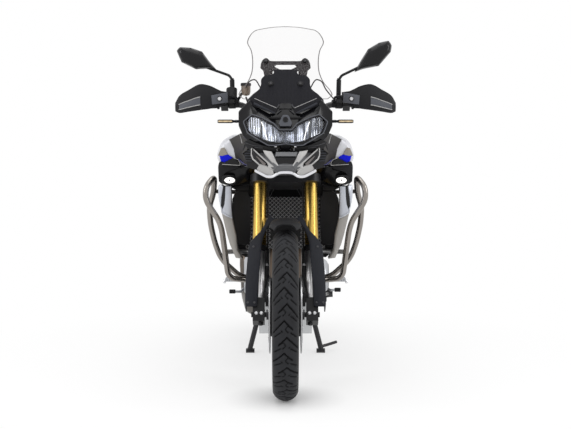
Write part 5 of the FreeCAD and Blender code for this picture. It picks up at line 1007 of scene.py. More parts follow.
# Mirrors: glossy shells with a crease, and their glass
mirrorForm = {
    "left": [(432, 1419), (445, 1400), (441, 1372), (391, 1314), (327, 1302), (289, 1288), (314, 1333),
        (346, 1384), (392, 1411)],
    "right": [(-456, 1377), (-437, 1330), (-376, 1300), (-327, 1303), (-289, 1298), (-315, 1326),
        (-350, 1374), (-398, 1390), (-443, 1392)],
    "depths": [(-377, 0.3), (-374, 0.55), (-366, 0.86), (-352, 0.98), (-334, 1.0), (-328, 0.96)],
}
shells, glasses = [], []
for side in ("left", "right"):
    rim = np.array(mirrorForm[side], float)
    middle = rim.mean(0)
    rings = [at(1, y, roundedOutline(middle + (rim - middle) * f, 22, 5)) for y, f in mirrorForm["depths"]]
    shells.append(skin(through(np.array(rings), 22)))
    glass = roundedOutline(middle + (rim - middle) * 0.9, 20, 5)
    glasses.append(skin([at(1, -330, glass), at(1, -326.5, glass),
                         at(1, -326, middle + (glass - middle) * 0.97)]))
addPiece("mirror_shells", shells, "glossBlack", "steering", sharp=50)
addPiece("mirror_glasses", glasses, "mirrorGlass", "steering", sharp=40)
print("guards and mirrors made")

# Side bodywork: shrouds in white with a blue corner, dark inner faces, the black wedge and the lamps in it
shroudForm = {
    "stations": [
        (-492, [(270, 944), (256, 984), (232, 998), (206, 1006), (198, 1004), (198, 922), (226, 920),
            (264, 930)]),
        (-478, [(278, 944), (262, 990), (233, 1008), (205, 1016), (188, 1012), (189, 911), (226, 911),
            (272, 923)]),
        (-330, [(246, 930), (230, 1000), (204, 1018), (184, 1016), (166, 1000), (168, 898), (200, 884),
            (238, 902)]),
        (-180, [(198, 900), (188, 962), (172, 976), (160, 972), (150, 960), (150, 870), (168, 858),
            (190, 872)]),
        (-60, [(160, 872), (156, 900), (148, 910), (140, 908), (134, 900), (134, 846), (142, 838),
            (156, 848)]),
    ],
    "inner": [(180.2, -610, 1032.1), (230, -520, 1007.2), (208.2, -500, 977.9), (210.8, -500, 963.2),
        (201.6, -500, 921.1), (166.4, -520, 904), (118.3, -560, 895.3), (169.6, -610, 952.9),
        (150, -636, 968), (144, -636, 1008), (160, -628, 1034)],
    "innerLine": [(181.8, -618, 1029.7), (175, -634, 1008.2), (171.2, -640, 992.9)],
    "blue": [(237, -500, 947.2), (270.2, -494, 941.2), (265.2, -494, 920.9), (254.2, -496, 911.7),
        (222.7, -500, 927), (214.1, -502, 933.8)],
    "sand": [(276.4, -492, 941.2), (264.9, -490, 971.3), (250.7, -496, 975.1), (245.3, -498, 967.8),
        (235, -502, 946.7), (259.4, -496, 940)],
    "blueStrip": [(119.1, -562, 896.2), (168.7, -526, 905.1), (193.5, -512, 924.8), (191.8, -512, 930.7),
        (166.2, -524, 910.9)],
    "wedge": [(213.1, -506, 933.9), (253.8, -504, 911.9), (259.7, -504, 906.1), (185.2, -512, 902.1),
        (185.2, -512, 911.3)],
    "wedgeLine": [(213.9, -508, 933.9), (191.8, -514, 924.9), (184.2, -514, 910.6), (185.9, -514, 902.2),
        (257.9, -506, 906.1)],
}
shroud = bodywork([at(1, y, outline) for y, outline in shroudForm["stations"]], 14, 40, 5)
addPair("shroud_shells", shroud, "whitePaint", instead="tank_shrouds")
addPanels(shroudForm, [
    ("shroud_inner_faces", "inner", 50, 2, "darkPanel"),
    ("shroud_blue_corners", "blue", 14, 1.5, "bluePaint"),
    ("shroud_blue_strips", "blueStrip", 12, 1, "inkBlue"),
    ("shroud_sand_patches", "sand", 12, 1, "sandPaint"),
    ("shroud_wedges", "wedge", 20, 1.5, "glossBlack"),
])
# Painted highlight: the light tube along the wedge line stands in for the light on the shroud's lower edge; a
# second one follows the inner face's edge
edges = joined(tube(bent(shroudForm["wedgeLine"], 3, 3), 1.4, 8), tube(shroudForm["innerLine"], 1.6, 8, 8))
addPair("shroud_edge_lines", edges, "silverPaint")

sideForm = {
    "stations": [
        (-500, [(188, 908), (226, 908.5), (270, 920), (276, 900), (274, 844), (264, 842), (246, 872),
            (190, 890)]),
        (-430, [(188, 908), (226, 908.5), (262, 916), (268, 896), (266, 838), (256, 836), (238, 856),
            (186, 868)]),
        (-300, [(160, 888), (190, 882), (228, 896), (232, 878), (226, 800), (214, 790), (196, 800),
            (156, 830)]),
        (-150, [(146, 858), (164, 852), (184, 866), (184, 852), (176, 790), (168, 782), (156, 790),
            (146, 820)]),
    ],
    "tail": [
        (-166, [(150, 854), (164, 850), (182, 860), (182, 850), (174, 794), (168, 787), (158, 794),
            (150, 820)]),
        (-60, [(120, 842), (134, 840), (152, 846), (154, 838), (147, 788), (140, 780), (130, 786),
            (120, 810)]),
        (40, [(104, 827), (112, 827), (123, 829), (125, 824), (120, 792), (116, 786), (110, 790),
            (104, 806)]),
        (112, [(102, 819), (106, 819), (112, 820), (113, 817), (111, 808), (109, 806), (105, 808),
            (102, 812)]),
    ],
    "lampAt": (227, -520, 842),
    "lampBezel": [(203.5, -520, 857.8), (212.7, -520, 862.8), (247.3, -518, 863.6), (260.1, -516, 855.9),
        (259.3, -516, 833.2), (247.5, -518, 822.4), (210.3, -520, 822.4), (201, -520, 834.2)],
    "panel": [(124, -470, 890.6), (185.7, -500, 900), (270, -500, 904.2), (275.3, -498, 878.9),
        (273.2, -494, 836.4), (262.3, -494, 826.3), (197.7, -480, 818.8), (138.9, -460, 843.4)],
}
sidePanel, panelTail = (bodywork([at(1, y, outline) for y, outline in sideForm[name]], 8, 30, 4)
                        for name in ("stations", "tail"))
addPair("side_panel_shells", sidePanel, "softBlack", instead="side_panels")
addPair("side_panel_tails", panelTail, "blackPlastic")
addPanels(sideForm, [("lamp_panels", "panel", 26, 3, "glossBlack")])
lampRim = roundedOutline(sideForm["lampBezel"], 18, 5)
addPair("fog_lamp_bezels", relief(lampRim, 22, 4), "blackPlastic", instead="fog_lamps")


def ovalRing(wide, high, ahead):  # an oval round the fog lamp's middle, a distance ahead of the panel
    x, y, z = sideForm["lampAt"]
    return at(1, y - ahead, circle(36) * [wide, high] + [x, z])


lampRings = [ovalRing(*ring) for ring in ((26, 19, 0), (26, 19, 6), (24, 17, 8), (21.5, 12.5, 6))]
glowRings = [ovalRing(*ring) for ring in ((21, 12, 5), (20.5, 11.5, 8), (15, 8, 10.5), (6, 3, 11.5))]
addPair("fog_lamp_rims", skin(lampRings), "glossBlack")
addPair("fog_lamp_lenses", skin(glowRings), "lampLight", sharp=60)
dot = turned([(3.4, 0), (3.4, 1.6), (2, 2.2)], (227, -531, 843), (0, -1, 0), 14)
addPair("fog_lamp_dots", dot, "glossBlack")

wingForm = {
    "upper": [(221.6, -514, 817.9), (245.1, -516, 817.6), (246.8, -518, 770.1), (249.4, -519, 744.8),
        (256.2, -520, 724.6), (260.6, -518, 711), (236.5, -520, 697.6), (217.7, -516, 688.8),
        (222.6, -514, 752.9)],
    "outer": [(260, -504, 822.5), (273.8, -500, 819.8), (275.7, -498, 802.8), (274.1, -498, 768.9),
        (265.5, -504, 729), (261.7, -512, 710.5), (256.4, -516, 724.3), (263.5, -508, 735.6),
        (261.8, -506, 769.4), (254, -506, 815)],
    "lower": [(218.1, -508, 686.5), (236.9, -512, 695.3), (261, -510, 708.7), (257.8, -508, 693.3),
        (239.9, -500, 616.1), (228, -496, 575), (205, -494, 521), (177, -494, 517), (197, -498, 554),
        (202.6, -500, 616.1)],
    "step": [(216.8, -518, 687.3), (236.4, -521, 696.4), (261.4, -518, 710.1)],
    "slot": [(245.6, -506, 817.1), (255, -504, 817), (263.6, -504, 769.2), (265.5, -504, 735.4),
        (256.8, -508, 722.9), (249, -510, 744.2)],
}
wings = joined(relief(wingForm["upper"], 90, 5), relief(wingForm["outer"], 80, 3))
addPair("wing_uppers", wings, "satinSilver", instead="radiator_wings")
addPair("wing_steps", tube(wingForm["step"], [2, 4, 2], 8, 10), "satinSilver")
addPanels(wingForm, [("wing_lowers", "lower", 80, 5, "satinBronze"),
                     ("wing_slots", "slot", 60, 1, "blackPlastic")])
print("side bodywork made")

# Radiator: expanded mesh in front of the core, and smooth panels beside it
meshForm = {"half": 164, "low": 560, "high": 776, "wave": 17.0, "row": 8.2, "swing": 0.42, "out": 1.4,
    "foot": (-458, 556), "lean": 0.1245}


def meshRow(row):
    # z = row height + swing of a row's height times the sine; neighbouring rows are half a wave apart
    x = np.arange(-meshForm["half"], meshForm["half"], meshForm["wave"] / 6)
    turn = x / meshForm["wave"] * 2 * np.pi + row % 2 * np.pi
    z = meshForm["low"] + row * meshForm["row"] + np.sin(turn) * meshForm["row"] * meshForm["swing"]
    y = meshForm["foot"][0] + (z - meshForm["foot"][1]) * meshForm["lean"] - meshForm["out"] * np.cos(turn)
    return swept(np.stack([x, y, z], -1), [(-0.6, -1.1), (0.6, -1.1), (0.6, 1.1), (-0.6, 1.1)])


rows = int((meshForm["high"] - meshForm["low"]) / meshForm["row"])
addPiece("radiator_mesh", [meshRow(row) for row in range(rows)], "meshMetal", sharp=60)
panelForm = {
    "half": [(153, -460, 794.5), (203.1, -476, 796.5), (219.1, -480, 763.5), (221.1, -480, 686.9),
        (218, -478, 640), (212, -476, 594), (203, -475, 574), (150, -460, 572), (147, -458, 600),
        (143.5, -458, 680.9), (145, -458, 768), (153, -459, 776)],
    "upper": [(152, -459, 796.3), (203.1, -476, 796.5), (218.9, -480, 816.7), (198.1, -470, 818.3),
        (152, -456, 821.7)],
    "low": [(206, -372, 604), (200, -367, 548), (192, -358, 526), (172, -334, 506), (150, -308, 504),
        (150, -308, 604)],
    "behind": [(88, -396, 762), (196, -398, 762), (204, -398, 842), (150, -396, 856), (92, -394, 846)],
    "crease": [(192.1, -474, 795.5), (202.9, -479, 790.7), (217.3, -483, 762.9)],
}
addPanels(panelForm, [
    ("radiator_side_panels", "half", 24, 4, "blackPlastic"),
    ("radiator_top_panels", "upper", 24, 3, "blackPlastic"),
    ("radiator_low_panels", "low", 6, 1, "blackPlastic"),
    ("radiator_back_panels", "behind", 4, 1, "blackPlastic"),
])
addPair("radiator_panel_creases", tube(panelForm["crease"], 1.2, 8, 10), "greyPlastic")

# Crash bars: one bent tube a side with its cross tubes
crashForm = {
    "line": [(96, -296, 408), (160, -396, 417), (222, -420, 426), (240, -430, 446), (263, -456, 631),
        (275, -460, 672), (330, -466, 758), (328, -466, 812), (300, -444, 848), (296, -404, 842),
        (302, -385, 778), (321, -368, 727), (317, -350, 649), (302, -325, 571), (282, -300, 509),
        (258, -284, 474), (197, -256, 414), (86, -226, 392)],
    "cross": [((250, -442, 541), (96, -262, 527), 10), ((302, -385, 790), (124, -262, 776), 9)],
}
crashLine = tube(bent(crashForm["line"], 30, 7), 12, 20)
crossLines = [tube([start, end], r, 16) for start, end, r in crashForm["cross"]]
addPair("crash_bar_tubes", joined(crashLine, crossLines[1]), "polished", instead="crash_bars")
addPair("crash_bar_cross_tubes", crossLines[0], "brushedSheet")
print("radiator and crash bars made")


# Dark cheeks between headlight, beak and shrouds
cheekForm = {
    "panel": [(-128.2, -640, 993.2), (-142.5, -636, 997.1), (-165.1, -616, 988.1), (-168.9, -610, 966.6),
        (-160.8, -606, 933.4), (-151, -610, 897), (-108.7, -650, 886), (-104, -660, 928.1)],
    "slats": [150.6, 153.2, 155.6, 158.2, 160.8],
    "under": [(-142.8, -700, 1008.8), (-89.9, -716, 986.4), (-33.8, -728, 978.8), (-33.8, -728, 961),
        (-89.9, -716, 950), (-121.1, -700, 952), (-153, -680, 978.1), (-163.5, -670, 999.1)],
    "underLine": [(-120.2, -702, 979.2), (-105.1, -712, 977.4), (-87.9, -719, 976)],
}


def sight(px, py, depth):
    # The point at a depth that shows at a place in the photograph
    down = math.radians(cameraFit["downDegrees"])
    middle, place = cameraFit["middle"], cameraFit["place"]
    aside, rise = (px - middle[0]) / cameraFit["focal"], (middle[1] - py) / cameraFit["focal"]
    reach = (depth - place[1] * metre) / (math.cos(down) + rise * math.sin(down))
    return np.array([reach * aside, depth, place[2] * metre
                     + reach * (rise * math.cos(down) - math.sin(down))])


addPanels(cheekForm, [("cheek_panels", "panel", 30, 1.5, "blackPlastic"),
                      ("cowl_under_panels", "under", 50, 2, "blackPlastic")])
slats = [tube([sight(326.5, row, -614), sight(323, row, -634), sight(319.4, row + 0.2, -652)], 2.2, 8, 6)
         for row in cheekForm["slats"]]
addPair("cheek_slats", slats, "slateDark")
# Painted highlight: a light grey tube along the under panel stands in for the light on its edge
addPair("cowl_under_lines", tube(cheekForm["underLine"], 1.5, 8, 8), "greyPlastic")

# Indicators: a ribbed stem, a slim black body and a cream strip of light
indicatorForm = {"body": (61, 15, 34), "front": (206, -651, 1080), "rear": (122, 985, 757), "strip": 6.0}


def indicator(place, facing, stemLong):
    # Stem along X from the body's inner end; the strip lies on the side that faces out
    long, high, deep = indicatorForm["body"]
    x0, y0, z0 = place
    rib = [(6.3, 0), (6.3, 1.7), (4.9, 1.9), (4.9, 3.0)]
    ribs = [(radius, 3 - stemLong + k * 3.2 + shift)
            for k in range(int(stemLong / 4.4)) for radius, shift in rib]
    stem = turned([(4.2, -stemLong)] + ribs + [(5.5, 1), (5.5, 3)], place, (1, 0, 0), 16)
    section = roundedOutline([(-deep / 2, -high / 2), (deep / 2, -high / 2 + 2), (deep / 2, high / 2 - 2),
                              (-deep / 2, high / 2)], 5, 3)
    rings = [at(0, x, section * size) for x, size in ((0, 0.7), (3, 0.95), (8, 1), (long - 6, 0.98),
                                                      (long, 0.8))]
    body = skin([ring + place for ring in rings])
    high = indicatorForm["strip"]
    strip = relief([(x0 + x, y0 - deep / 2 - 1.2, z0 + z)
                    for x, z in ((5, -high / 2), (long - 4, -high / 2), (long - 2, 0), (long - 4, high / 2),
                                 (5, high / 2), (3.5, 0))], 6, 0.8)
    shapes = [stem, body, strip]
    if facing > 0:  # mirrored front to back about its own middle
        shapes = [(points * [1, -1, 1] + [0, 2 * y0, 0], [block[:, ::-1] for block in faces])
                  for points, faces in shapes]
    return joined(*shapes[:2]), shapes[2]


frontShell, frontStrip = indicator(indicatorForm["front"], -1, 28)
rearShell, rearStrip = indicator(indicatorForm["rear"], 1, 8)
addPair("indicator_shells", joined(frontShell, rearShell), "softBlack", instead="indicators")
addPair("indicator_strips", joined(frontStrip, rearStrip), "cream")

# Screen bracket: two lobes and a bar behind the screen, and the bolts of the dark panel
bracketForm = {
    "lobe": [(311.2, 68.0), (310.7, 63.9), (309.5, 60.8), (307.7, 58.8), (305.4, 57.9), (303.4, 58.8),
        (301.7, 60.8), (298.0, 61.1), (286, 61.1), (286, 64.9), (295.1, 64.9), (297.1, 66.7), (291.7, 69.4),
        (286, 69.4), (286, 76), (296.5, 76), (296.5, 72), (300.9, 70.3), (301.1, 76), (307.2, 76),
        (308.3, 70.8)],
    "depth": -538.0, "thick": 7.0, "panelBolt": (300.8, 84.0), "topBolt": (305.6, 60.9),
}


def bracketPoint(px, py):  # on the back of the screen, by its height
    first = sight(px, py, bracketForm["depth"])
    y = screenMiddle(first[2]) + first[0] ** 2 / (2 * screenForm["bow"]) + screenForm["thick"] + 1
    return sight(px, py, y)


lobe = np.array([bracketPoint(px, py) for px, py in bracketForm["lobe"]])
bracket = skin([lobe, lobe + [0, 2, 0], lobe + [0, bracketForm["thick"], 0]])
stay = tube([(58, -520, 1258), (58, -500, 1286), (58, screenMiddle(1314) + 12, 1314)], 6, 12, 10)
lowStay = tube([(58, -512, 1262), (0, -512, 1262)], 6, 12)
lowStrut = tube([(56, screenMiddle(1226) + 14, 1230), (56, -516, 1262)], 5, 12)
addPair("screen_bracket", joined(bracket, stay, lowStay, lowStrut), "softBlack", instead="screen_mount",
         sharp=30)
screenOut = unit(np.array([0, -1.0, 0.62]))
boltAt = [bracketPoint(*bracketForm[name]) - [0, screenForm["thick"] + 3, 0]
          for name in ("panelBolt", "topBolt")]
boss = turned([(11, -3), (11, 2), (9.5, 4.5), (5, 5.5), (4.5, 3.5), (1.5, 3.5)], boltAt[0] - [0, 7, 0],
              screenOut, 24)
grommet = turned([(9, -2), (9, 1.5), (8, 3), (5, 3.6), (4.4, 2), (1.5, 2)], boltAt[1], screenOut, 24)
addPair("screen_bolt_bosses", joined(boss, grommet), "blackPlastic")
heads = [capBolt(spot + screenOut * high, screenOut, 5)
         for spot, high in ((boltAt[0] - [0, 7, 0], 3.4), (boltAt[1], 2))]
addPair("screen_bolts", heads, "darkCast")
print("cheeks, indicators and screen bracket made")

# Controls: brake fluid cup at the rider's right, and the cables
controlForm = {
    "cup": (-166, -356, 1192), "cupProfile": [(4, -4), (15, 0), (18, 6), (19.5, 12), (20, 38), (20.5, 40)],
    "lid": [(22, 38), (22, 47), (20, 50), (9, 51), (8, 49.5), (2, 49.5)],
    "cable": [(200, -352, 1178), (168, -372, 1216), (146, -388, 1250), (128, -398, 1254), (108, -402, 1228),
        (84, -398, 1160), (62, -392, 1098)],
    "hose": [(-166, -352, 1184), (-150, -362, 1140), (-118, -398, 1096), (-80, -404, 1060)],
}
cupAt = np.array(controlForm["cup"])
addPiece("brake_fluid_cup", turned(controlForm["cupProfile"], cupAt, (0, 0, 1), 28), "smokedCup", "steering")
cupLid = turned(controlForm["lid"], cupAt, (0, 0, 1), 28)
arm = tube([cupAt + [-18, 4, 8], (-196, -346, 1176), (-222, -340, 1160)], 5, 10, 12)
addPiece("brake_cup_lid_and_arm", joined(cupLid, arm), "blackPlastic", "steering")
cables = [bothSides(tube(controlForm["cable"], 2.6, 8, 60)), tube(controlForm["hose"], 3.6, 8, 30)]
addPiece("control_cables", cables, "gripRubber", "steering")
print("controls made")


# Front mudguard: the shell over the tyre, and the plates before the fork legs with their arch and sides
guardPlates = {
    "half": [(0, 389.3), (48.7, 391.4), (55.1, 399.5), (62.8, 409.1), (69, 396.8), (86.5, 357.4),
        (100.2, 333.8), (117.6, 317), (139.3, 286.8), (147.1, 256.8), (151.9, 190.6), (156.1, 125.1),
        (156.9, 47.4), (156.6, 25), (109.9, 25), (108.9, 47.4), (106.8, 92.6), (101.3, 170.8), (96.8, 230.2),
        (93.5, 283.5), (86.2, 315.6), (77.5, 338.5), (66.3, 360.8), (52.5, 374.4), (29.7, 379.8), (0, 381.2)],
    "ahead": 79.0, "thick": 6.0, "sideLevels": [(26, 156), (194, 151), (286, 139)], "sideBack": 2.0,
    "shell": [(0, 377), (24, 376), (42, 371), (54, 363), (61, 350), (57, 349), (50, 360), (39, 367),
        (23, 372), (0, 373)],
    "shellDegrees": (50, 106), "screws": [(146, 40), (120, 40), (126, 270)],
}


def ontoSteer(shape):  # a shape drawn with -Y ahead and Z up, brought onto the steering axis
    points, faces = shape
    return onSteer(points[:, 0], -points[:, 1], points[:, 2]), faces


def sideReturn(levels, ahead, back, thick=4.0):
    # The plate's outer wall, from its front to the fork leg's side
    rings = []
    for up, out in through(levels, 14):
        corners = roundedOutline([(out - thick, back), (out, back), (out, ahead), (out - thick, ahead)], 3, 2)
        rings.append(onSteer(corners[:, 0], corners[:, 1], up))
    return skin(rings)


archOutline = at(1, -guardPlates["ahead"], roundedOutline(whole(guardPlates["half"]), 7, 3))
archPlate = ontoSteer(relief(archOutline, guardPlates["thick"], 2))
returns = bothSides(sideReturn(guardPlates["sideLevels"], guardPlates["ahead"] - 2, guardPlates["sideBack"]))
turnAt = np.radians(np.linspace(*guardPlates["shellDegrees"], 40))
shellLine = roundedOutline(whole(guardPlates["shell"]), 4, 2)
drawn = 1 - 0.3 * np.clip(np.linspace(-5, 1, 40), 0, 1)[:, None] ** 2  # narrower towards its front lip
shellRings = np.stack([shellLine[:, 0] * drawn, shellLine[:, 1] * np.cos(turnAt)[:, None],
                       shellLine[:, 1] * np.sin(turnAt)[:, None]], -1)
addPiece("mudguard_plates", joined(archPlate, returns), "guardSlate", "steering", instead="front_mudguard")
addPiece("mudguard_shell", skin(shellRings + frontAxle), "softBlack", "steering", sharp=40)
rivets = [capBolt(onSteer(x, guardPlates["ahead"], up), steerAhead, 5)
          for x, up in guardPlates["screws"]]
addPair("mudguard_screws", rivets, "darkCast", "steering")

# Fork: black seals and caps, pinch bolts on the feet, and the hoses down to the calipers
forkForm = {"span": 104, "ahead": 32, "sealUp": (266, 286), "capUp": 806, "leg": 21.5,
    "bolts": [(93, 1), (113, 1)], "knob": (96, 52, -34), "footFront": 69,
    "calipers": [(91, -700, 372), (91, -654, 404)],
    "hose": [(80, 14, 96), (74, 20, 180), (71, 30, 300), (70, 32, 560), (62, 26, 700), (40, 14, 790)]}
sealLow, sealTop = forkForm["sealUp"]
sealHigh, sealIn = sealTop - sealLow, forkForm["leg"] + 0.3
sealProfile = [(sealIn, 0), (29, 0), (30.4, 2), (30.4, sealHigh - 1), (28.6, sealHigh + 1),
               (27.2, sealHigh + 1), (27.2, 3), (sealIn, 2)]
seal = hoop(sealProfile, onSteer(forkForm["span"], forkForm["ahead"], sealLow), steerUp, 32)
capAt = onSteer(forkForm["span"], forkForm["ahead"], forkForm["capUp"])
capTurned = turned([(25, -2), (26.5, 0), (26.5, 9), (25, 10.8), (14, 11), (13.5, 12), (9, 12), (8.5, 10),
                    (2, 10)], capAt, steerUp, 32)
addPair("fork_seals", seal, "gripRubber", "steering")
addPair("fork_caps", capTurned, "inkBlue", "steering")
pinch = [capBolt(onSteer(x, forkForm["footFront"], up), steerAhead, 7) for x, up in forkForm["bolts"]]
knob = turned([(9, -2), (9, 8), (7.5, 9.5), (3, 9.5)], onSteer(*forkForm["knob"]), -steerUp, 16)
addPair("fork_pinch_bolts", pinch, "brightBolt", "steering")
addPair("fork_foot_knobs", knob, "blackPlastic", "steering")
hosePath = through(onSteer(*np.array(forkForm["hose"]).T), 60)
addPair("caliper_hoses", swept(hosePath, circle(8, 3.4)), "gripRubber", "steering")
clips = [hoop([(3.2, -4), (5.2, -4), (5.2, 4), (3.2, 4)], hosePath[k], hosePath[k + 1] - hosePath[k - 1], 14)
         for k in (10, 26, 42)]
addPair("hose_clips", clips, "steel", "steering")
caliperBolts = [capBolt(spot, (1, 0, 0), 8) for spot in forkForm["calipers"]]
addPair("caliper_bolts", caliperBolts, "steel", "steering")
print("mudguard and fork dressed")

# Discs: dark carriers with their bobbins, and the carrier on the rear sprocket
carrierForm = {
    "front": {"face": 62.6, "outer": 106, "inner": 58, "lobes": 10, "rise": 9},
    "rear": {"face": -88.2, "outer": 82, "inner": 44, "lobes": 6, "rise": 8},
    "sprocket": {"face": 95.0, "outer": 84, "inner": 34, "lobes": 6, "rise": 9},
}


def carrier(form, axle, thick=2.2):
    # Outer radius = outer + rise cos(lobes turn), walls along X, and a stud in each lobe
    turn = np.arange(240) / 240 * 2 * np.pi
    outer = form["outer"] + form["rise"] * np.cos(form["lobes"] * turn)
    inner = np.full(240, form["inner"] * 1.0)
    side = np.sign(form["face"])
    start, end, reach = form["face"] - side, form["face"] + side * thick, form["outer"] - 2
    radii = np.stack([outer, outer, outer - 1.2, inner + 1.2, inner, inner], -1)
    x = np.broadcast_to([start, end - side * 0.8, end, end, end - side * 0.8, start], radii.shape)
    shape = loop(np.stack([x, radii * np.sin(turn)[:, None], radii * np.cos(turn)[:, None]], -1) + axle)
    studs = [turned([(6.5, -1), (6.5, 1), (5.4, 1.6), (2.6, 1.6), (2.4, 0.6), (0.8, 0.6)],
                    axle + [end, reach * math.sin(a), reach * math.cos(a)], (side, 0, 0), 14)
             for a in np.arange(form["lobes"]) / form["lobes"] * 2 * np.pi]
    return shape, joined(*studs)


frontCarrier, frontStuds = carrier(carrierForm["front"], frontAxle)
rearCarrier, rearStuds = carrier(carrierForm["rear"], rearAxle)
sprocketCarrier, sprocketStuds = carrier(carrierForm["sprocket"], rearAxle, 1.6)
addPair("front_disc_carriers", frontCarrier, "darkCast", "front_wheel")
addPair("front_disc_bobbins", frontStuds, "brightBolt", "front_wheel")
addPiece("rear_disc_carrier", rearCarrier, "darkCast", "rear_wheel")
addPiece("rear_disc_bobbins", rearStuds, "brightBolt", "rear_wheel")
addPiece("sprocket_carrier", sprocketCarrier, "darkCast", "rear_wheel")
addPiece("sprocket_bolts", sprocketStuds, "brightBolt", "rear_wheel")
valveProfile = [(5.5, -6), (5.5, 2), (4.2, 4), (4, 16), (4.6, 17), (4.6, 28), (3.6, 30)]
for end, axle, radius in (("front", frontAxle, 236), ("rear", rearAxle, 211)):
    valve = turned(valveProfile, axle - [0, 0, radius], (0.35, 0, 1), 12)
    addPiece(end + "_valve", valve, "gripRubber", end + "_wheel")
print("discs and sprocket dressed")

# Tank: a smooth skin through its stations, a dark top cover with the filler, stripes and knee pads
tankForm = {
    "stations": [
        (-338, [(0, 960), (46, 956), (92, 930), (112, 880), (96, 822), (0, 813)]),
        (-290, [(0, 996), (56, 990), (112, 960), (140, 890), (124, 826), (0, 813)]),
        (-200, [(0, 1016), (66, 1008), (134, 972), (162, 896), (146, 830), (0, 813)]),
        (-90, [(0, 1000), (62, 992), (130, 952), (160, 890), (146, 830), (0, 813)]),
        (20, [(0, 952), (50, 944), (104, 912), (132, 872), (120, 828), (0, 813)]),
        (96, [(0, 890), (40, 886), (78, 870), (98, 850), (92, 826), (0, 813)]),
        (124, [(0, 864), (36, 862), (66, 852), (84, 840), (80, 826), (0, 815)]),
    ],
    "filler": (0, -150, 1004), "fillerUp": (0, 0.11, 1),
    "fillerProfile": [(50, -8), (50, 5), (48.5, 6.5), (43, 7), (42, 6), (41, 7.5), (39.5, 11), (37, 12),
        (16, 13), (15, 12), (13, 12), (12, 13), (2, 13)],
}


def formRings(stations, corner, count):
    # Smooth rings through outlines, turned half round so that their seam lies below
    rings = through(np.array([at(1, y, roundedOutline(whole(half), corner)) for y, half in stations]), count)
    return np.roll(rings, rings.shape[1] // 2, axis=1)


def overlay(rings, rows, columns, lift, sink=1.5):
    # A patch of a grid of rings, lifted along the surface's own normals inside its rim
    part = slice(*rows), slice(*columns)
    down, over = np.gradient(rings, axis=0), np.gradient(rings, axis=1)
    out = unit(np.cross(over, down) + 1e-9)
    out = out[part] * np.sign(np.einsum("ijk,ijk->", out, rings - rings.mean((0, 1))))
    high = np.full(out.shape[:2], lift * 1.0)
    for edge in (high[0], high[-1], high[:, 0], high[:, -1]):
        edge[:] = lift * 0.45
    front, back = rings[part] + out * high[..., None], rings[part] - out * sink
    return skin(np.concatenate([front, back[:, ::-1]], 1))


def mirrorColumns(rings, columns):  # the same columns on the other side of a form whose seam lies below
    count = rings.shape[1]
    return count - columns[1] + 4, count - columns[0] + 4


tankRings = formRings(tankForm["stations"], 60, 60)
addPiece("tank_skin", rolled(tankRings, 4), "whitePaint", instead="fuel_tank", levels=1)
addPiece("tank_top_cover", overlay(tankRings, (4, 46), (22, 33), 3.2), "softBlack", sharp=40)
for name, rows, columns, lift, finish in (("tank_stripes", (10, 56), (35, 38), 0.9, "bluePaint"),
                                          ("tank_knee_pads", (40, 57), (38, 44), 2.4, "gripRubber")):
    pair = [overlay(tankRings, rows, side, lift) for side in (columns, mirrorColumns(tankRings, columns))]
    addPiece(name, pair, finish, sharp=40)
fillerAt, fillerUp = np.array(tankForm["filler"], float), unit(tankForm["fillerUp"])
addPiece("filler_cap", turned(tankForm["fillerProfile"], fillerAt, fillerUp, 48), "satinSilver", sharp=30)
fillerSide, fillerTop = across(fillerUp)
ringBolts = [capBolt(fillerAt + (fillerSide * math.cos(a) + fillerTop * math.sin(a)) * 45.6 + fillerUp * 6.4,
                     fillerUp, 4) for a in np.arange(8) * np.pi / 4]
addPiece("filler_bolts", ringBolts, "darkCast")
lockFlap = turned([(11, 12.4), (11, 14), (10, 14.8), (2, 14.8)], fillerAt, fillerUp, 24)
addPiece("filler_lock", lockFlap, "glossBlack")
print("tank made")

# Seats: cushions blown up like cloth from a drawn-in start, with piping and seams laid on them
seatForm = {
    "rider": [
        (104, [(0, 872), (52, 868), (76, 842), (84, 806), (0, 800)]),
        (170, [(0, 858), (70, 856), (100, 832), (108, 796), (0, 784)]),
        (280, [(0, 848), (110, 850), (140, 828), (140, 790), (0, 782)]),
        (390, [(0, 856), (122, 860), (154, 836), (146, 796), (0, 786)]),
        (432, [(0, 896), (118, 898), (148, 870), (144, 820), (0, 800)]),
    ],
    "pillion": [
        (428, [(0, 902), (92, 902), (124, 880), (132, 840), (0, 812)]),
        (470, [(0, 930), (108, 930), (138, 904), (138, 856), (0, 830)]),
        (640, [(0, 938), (104, 938), (132, 912), (130, 872), (0, 850)]),
        (792, [(0, 936), (78, 936), (104, 914), (104, 884), (0, 868)]),
    ],
    "drawnIn": 6.0, "voxel": 6.0, "frames": 20, "reach": 7.0, "pressure": 4.0, "piping": 2.0, "stitch": 0.9,
}


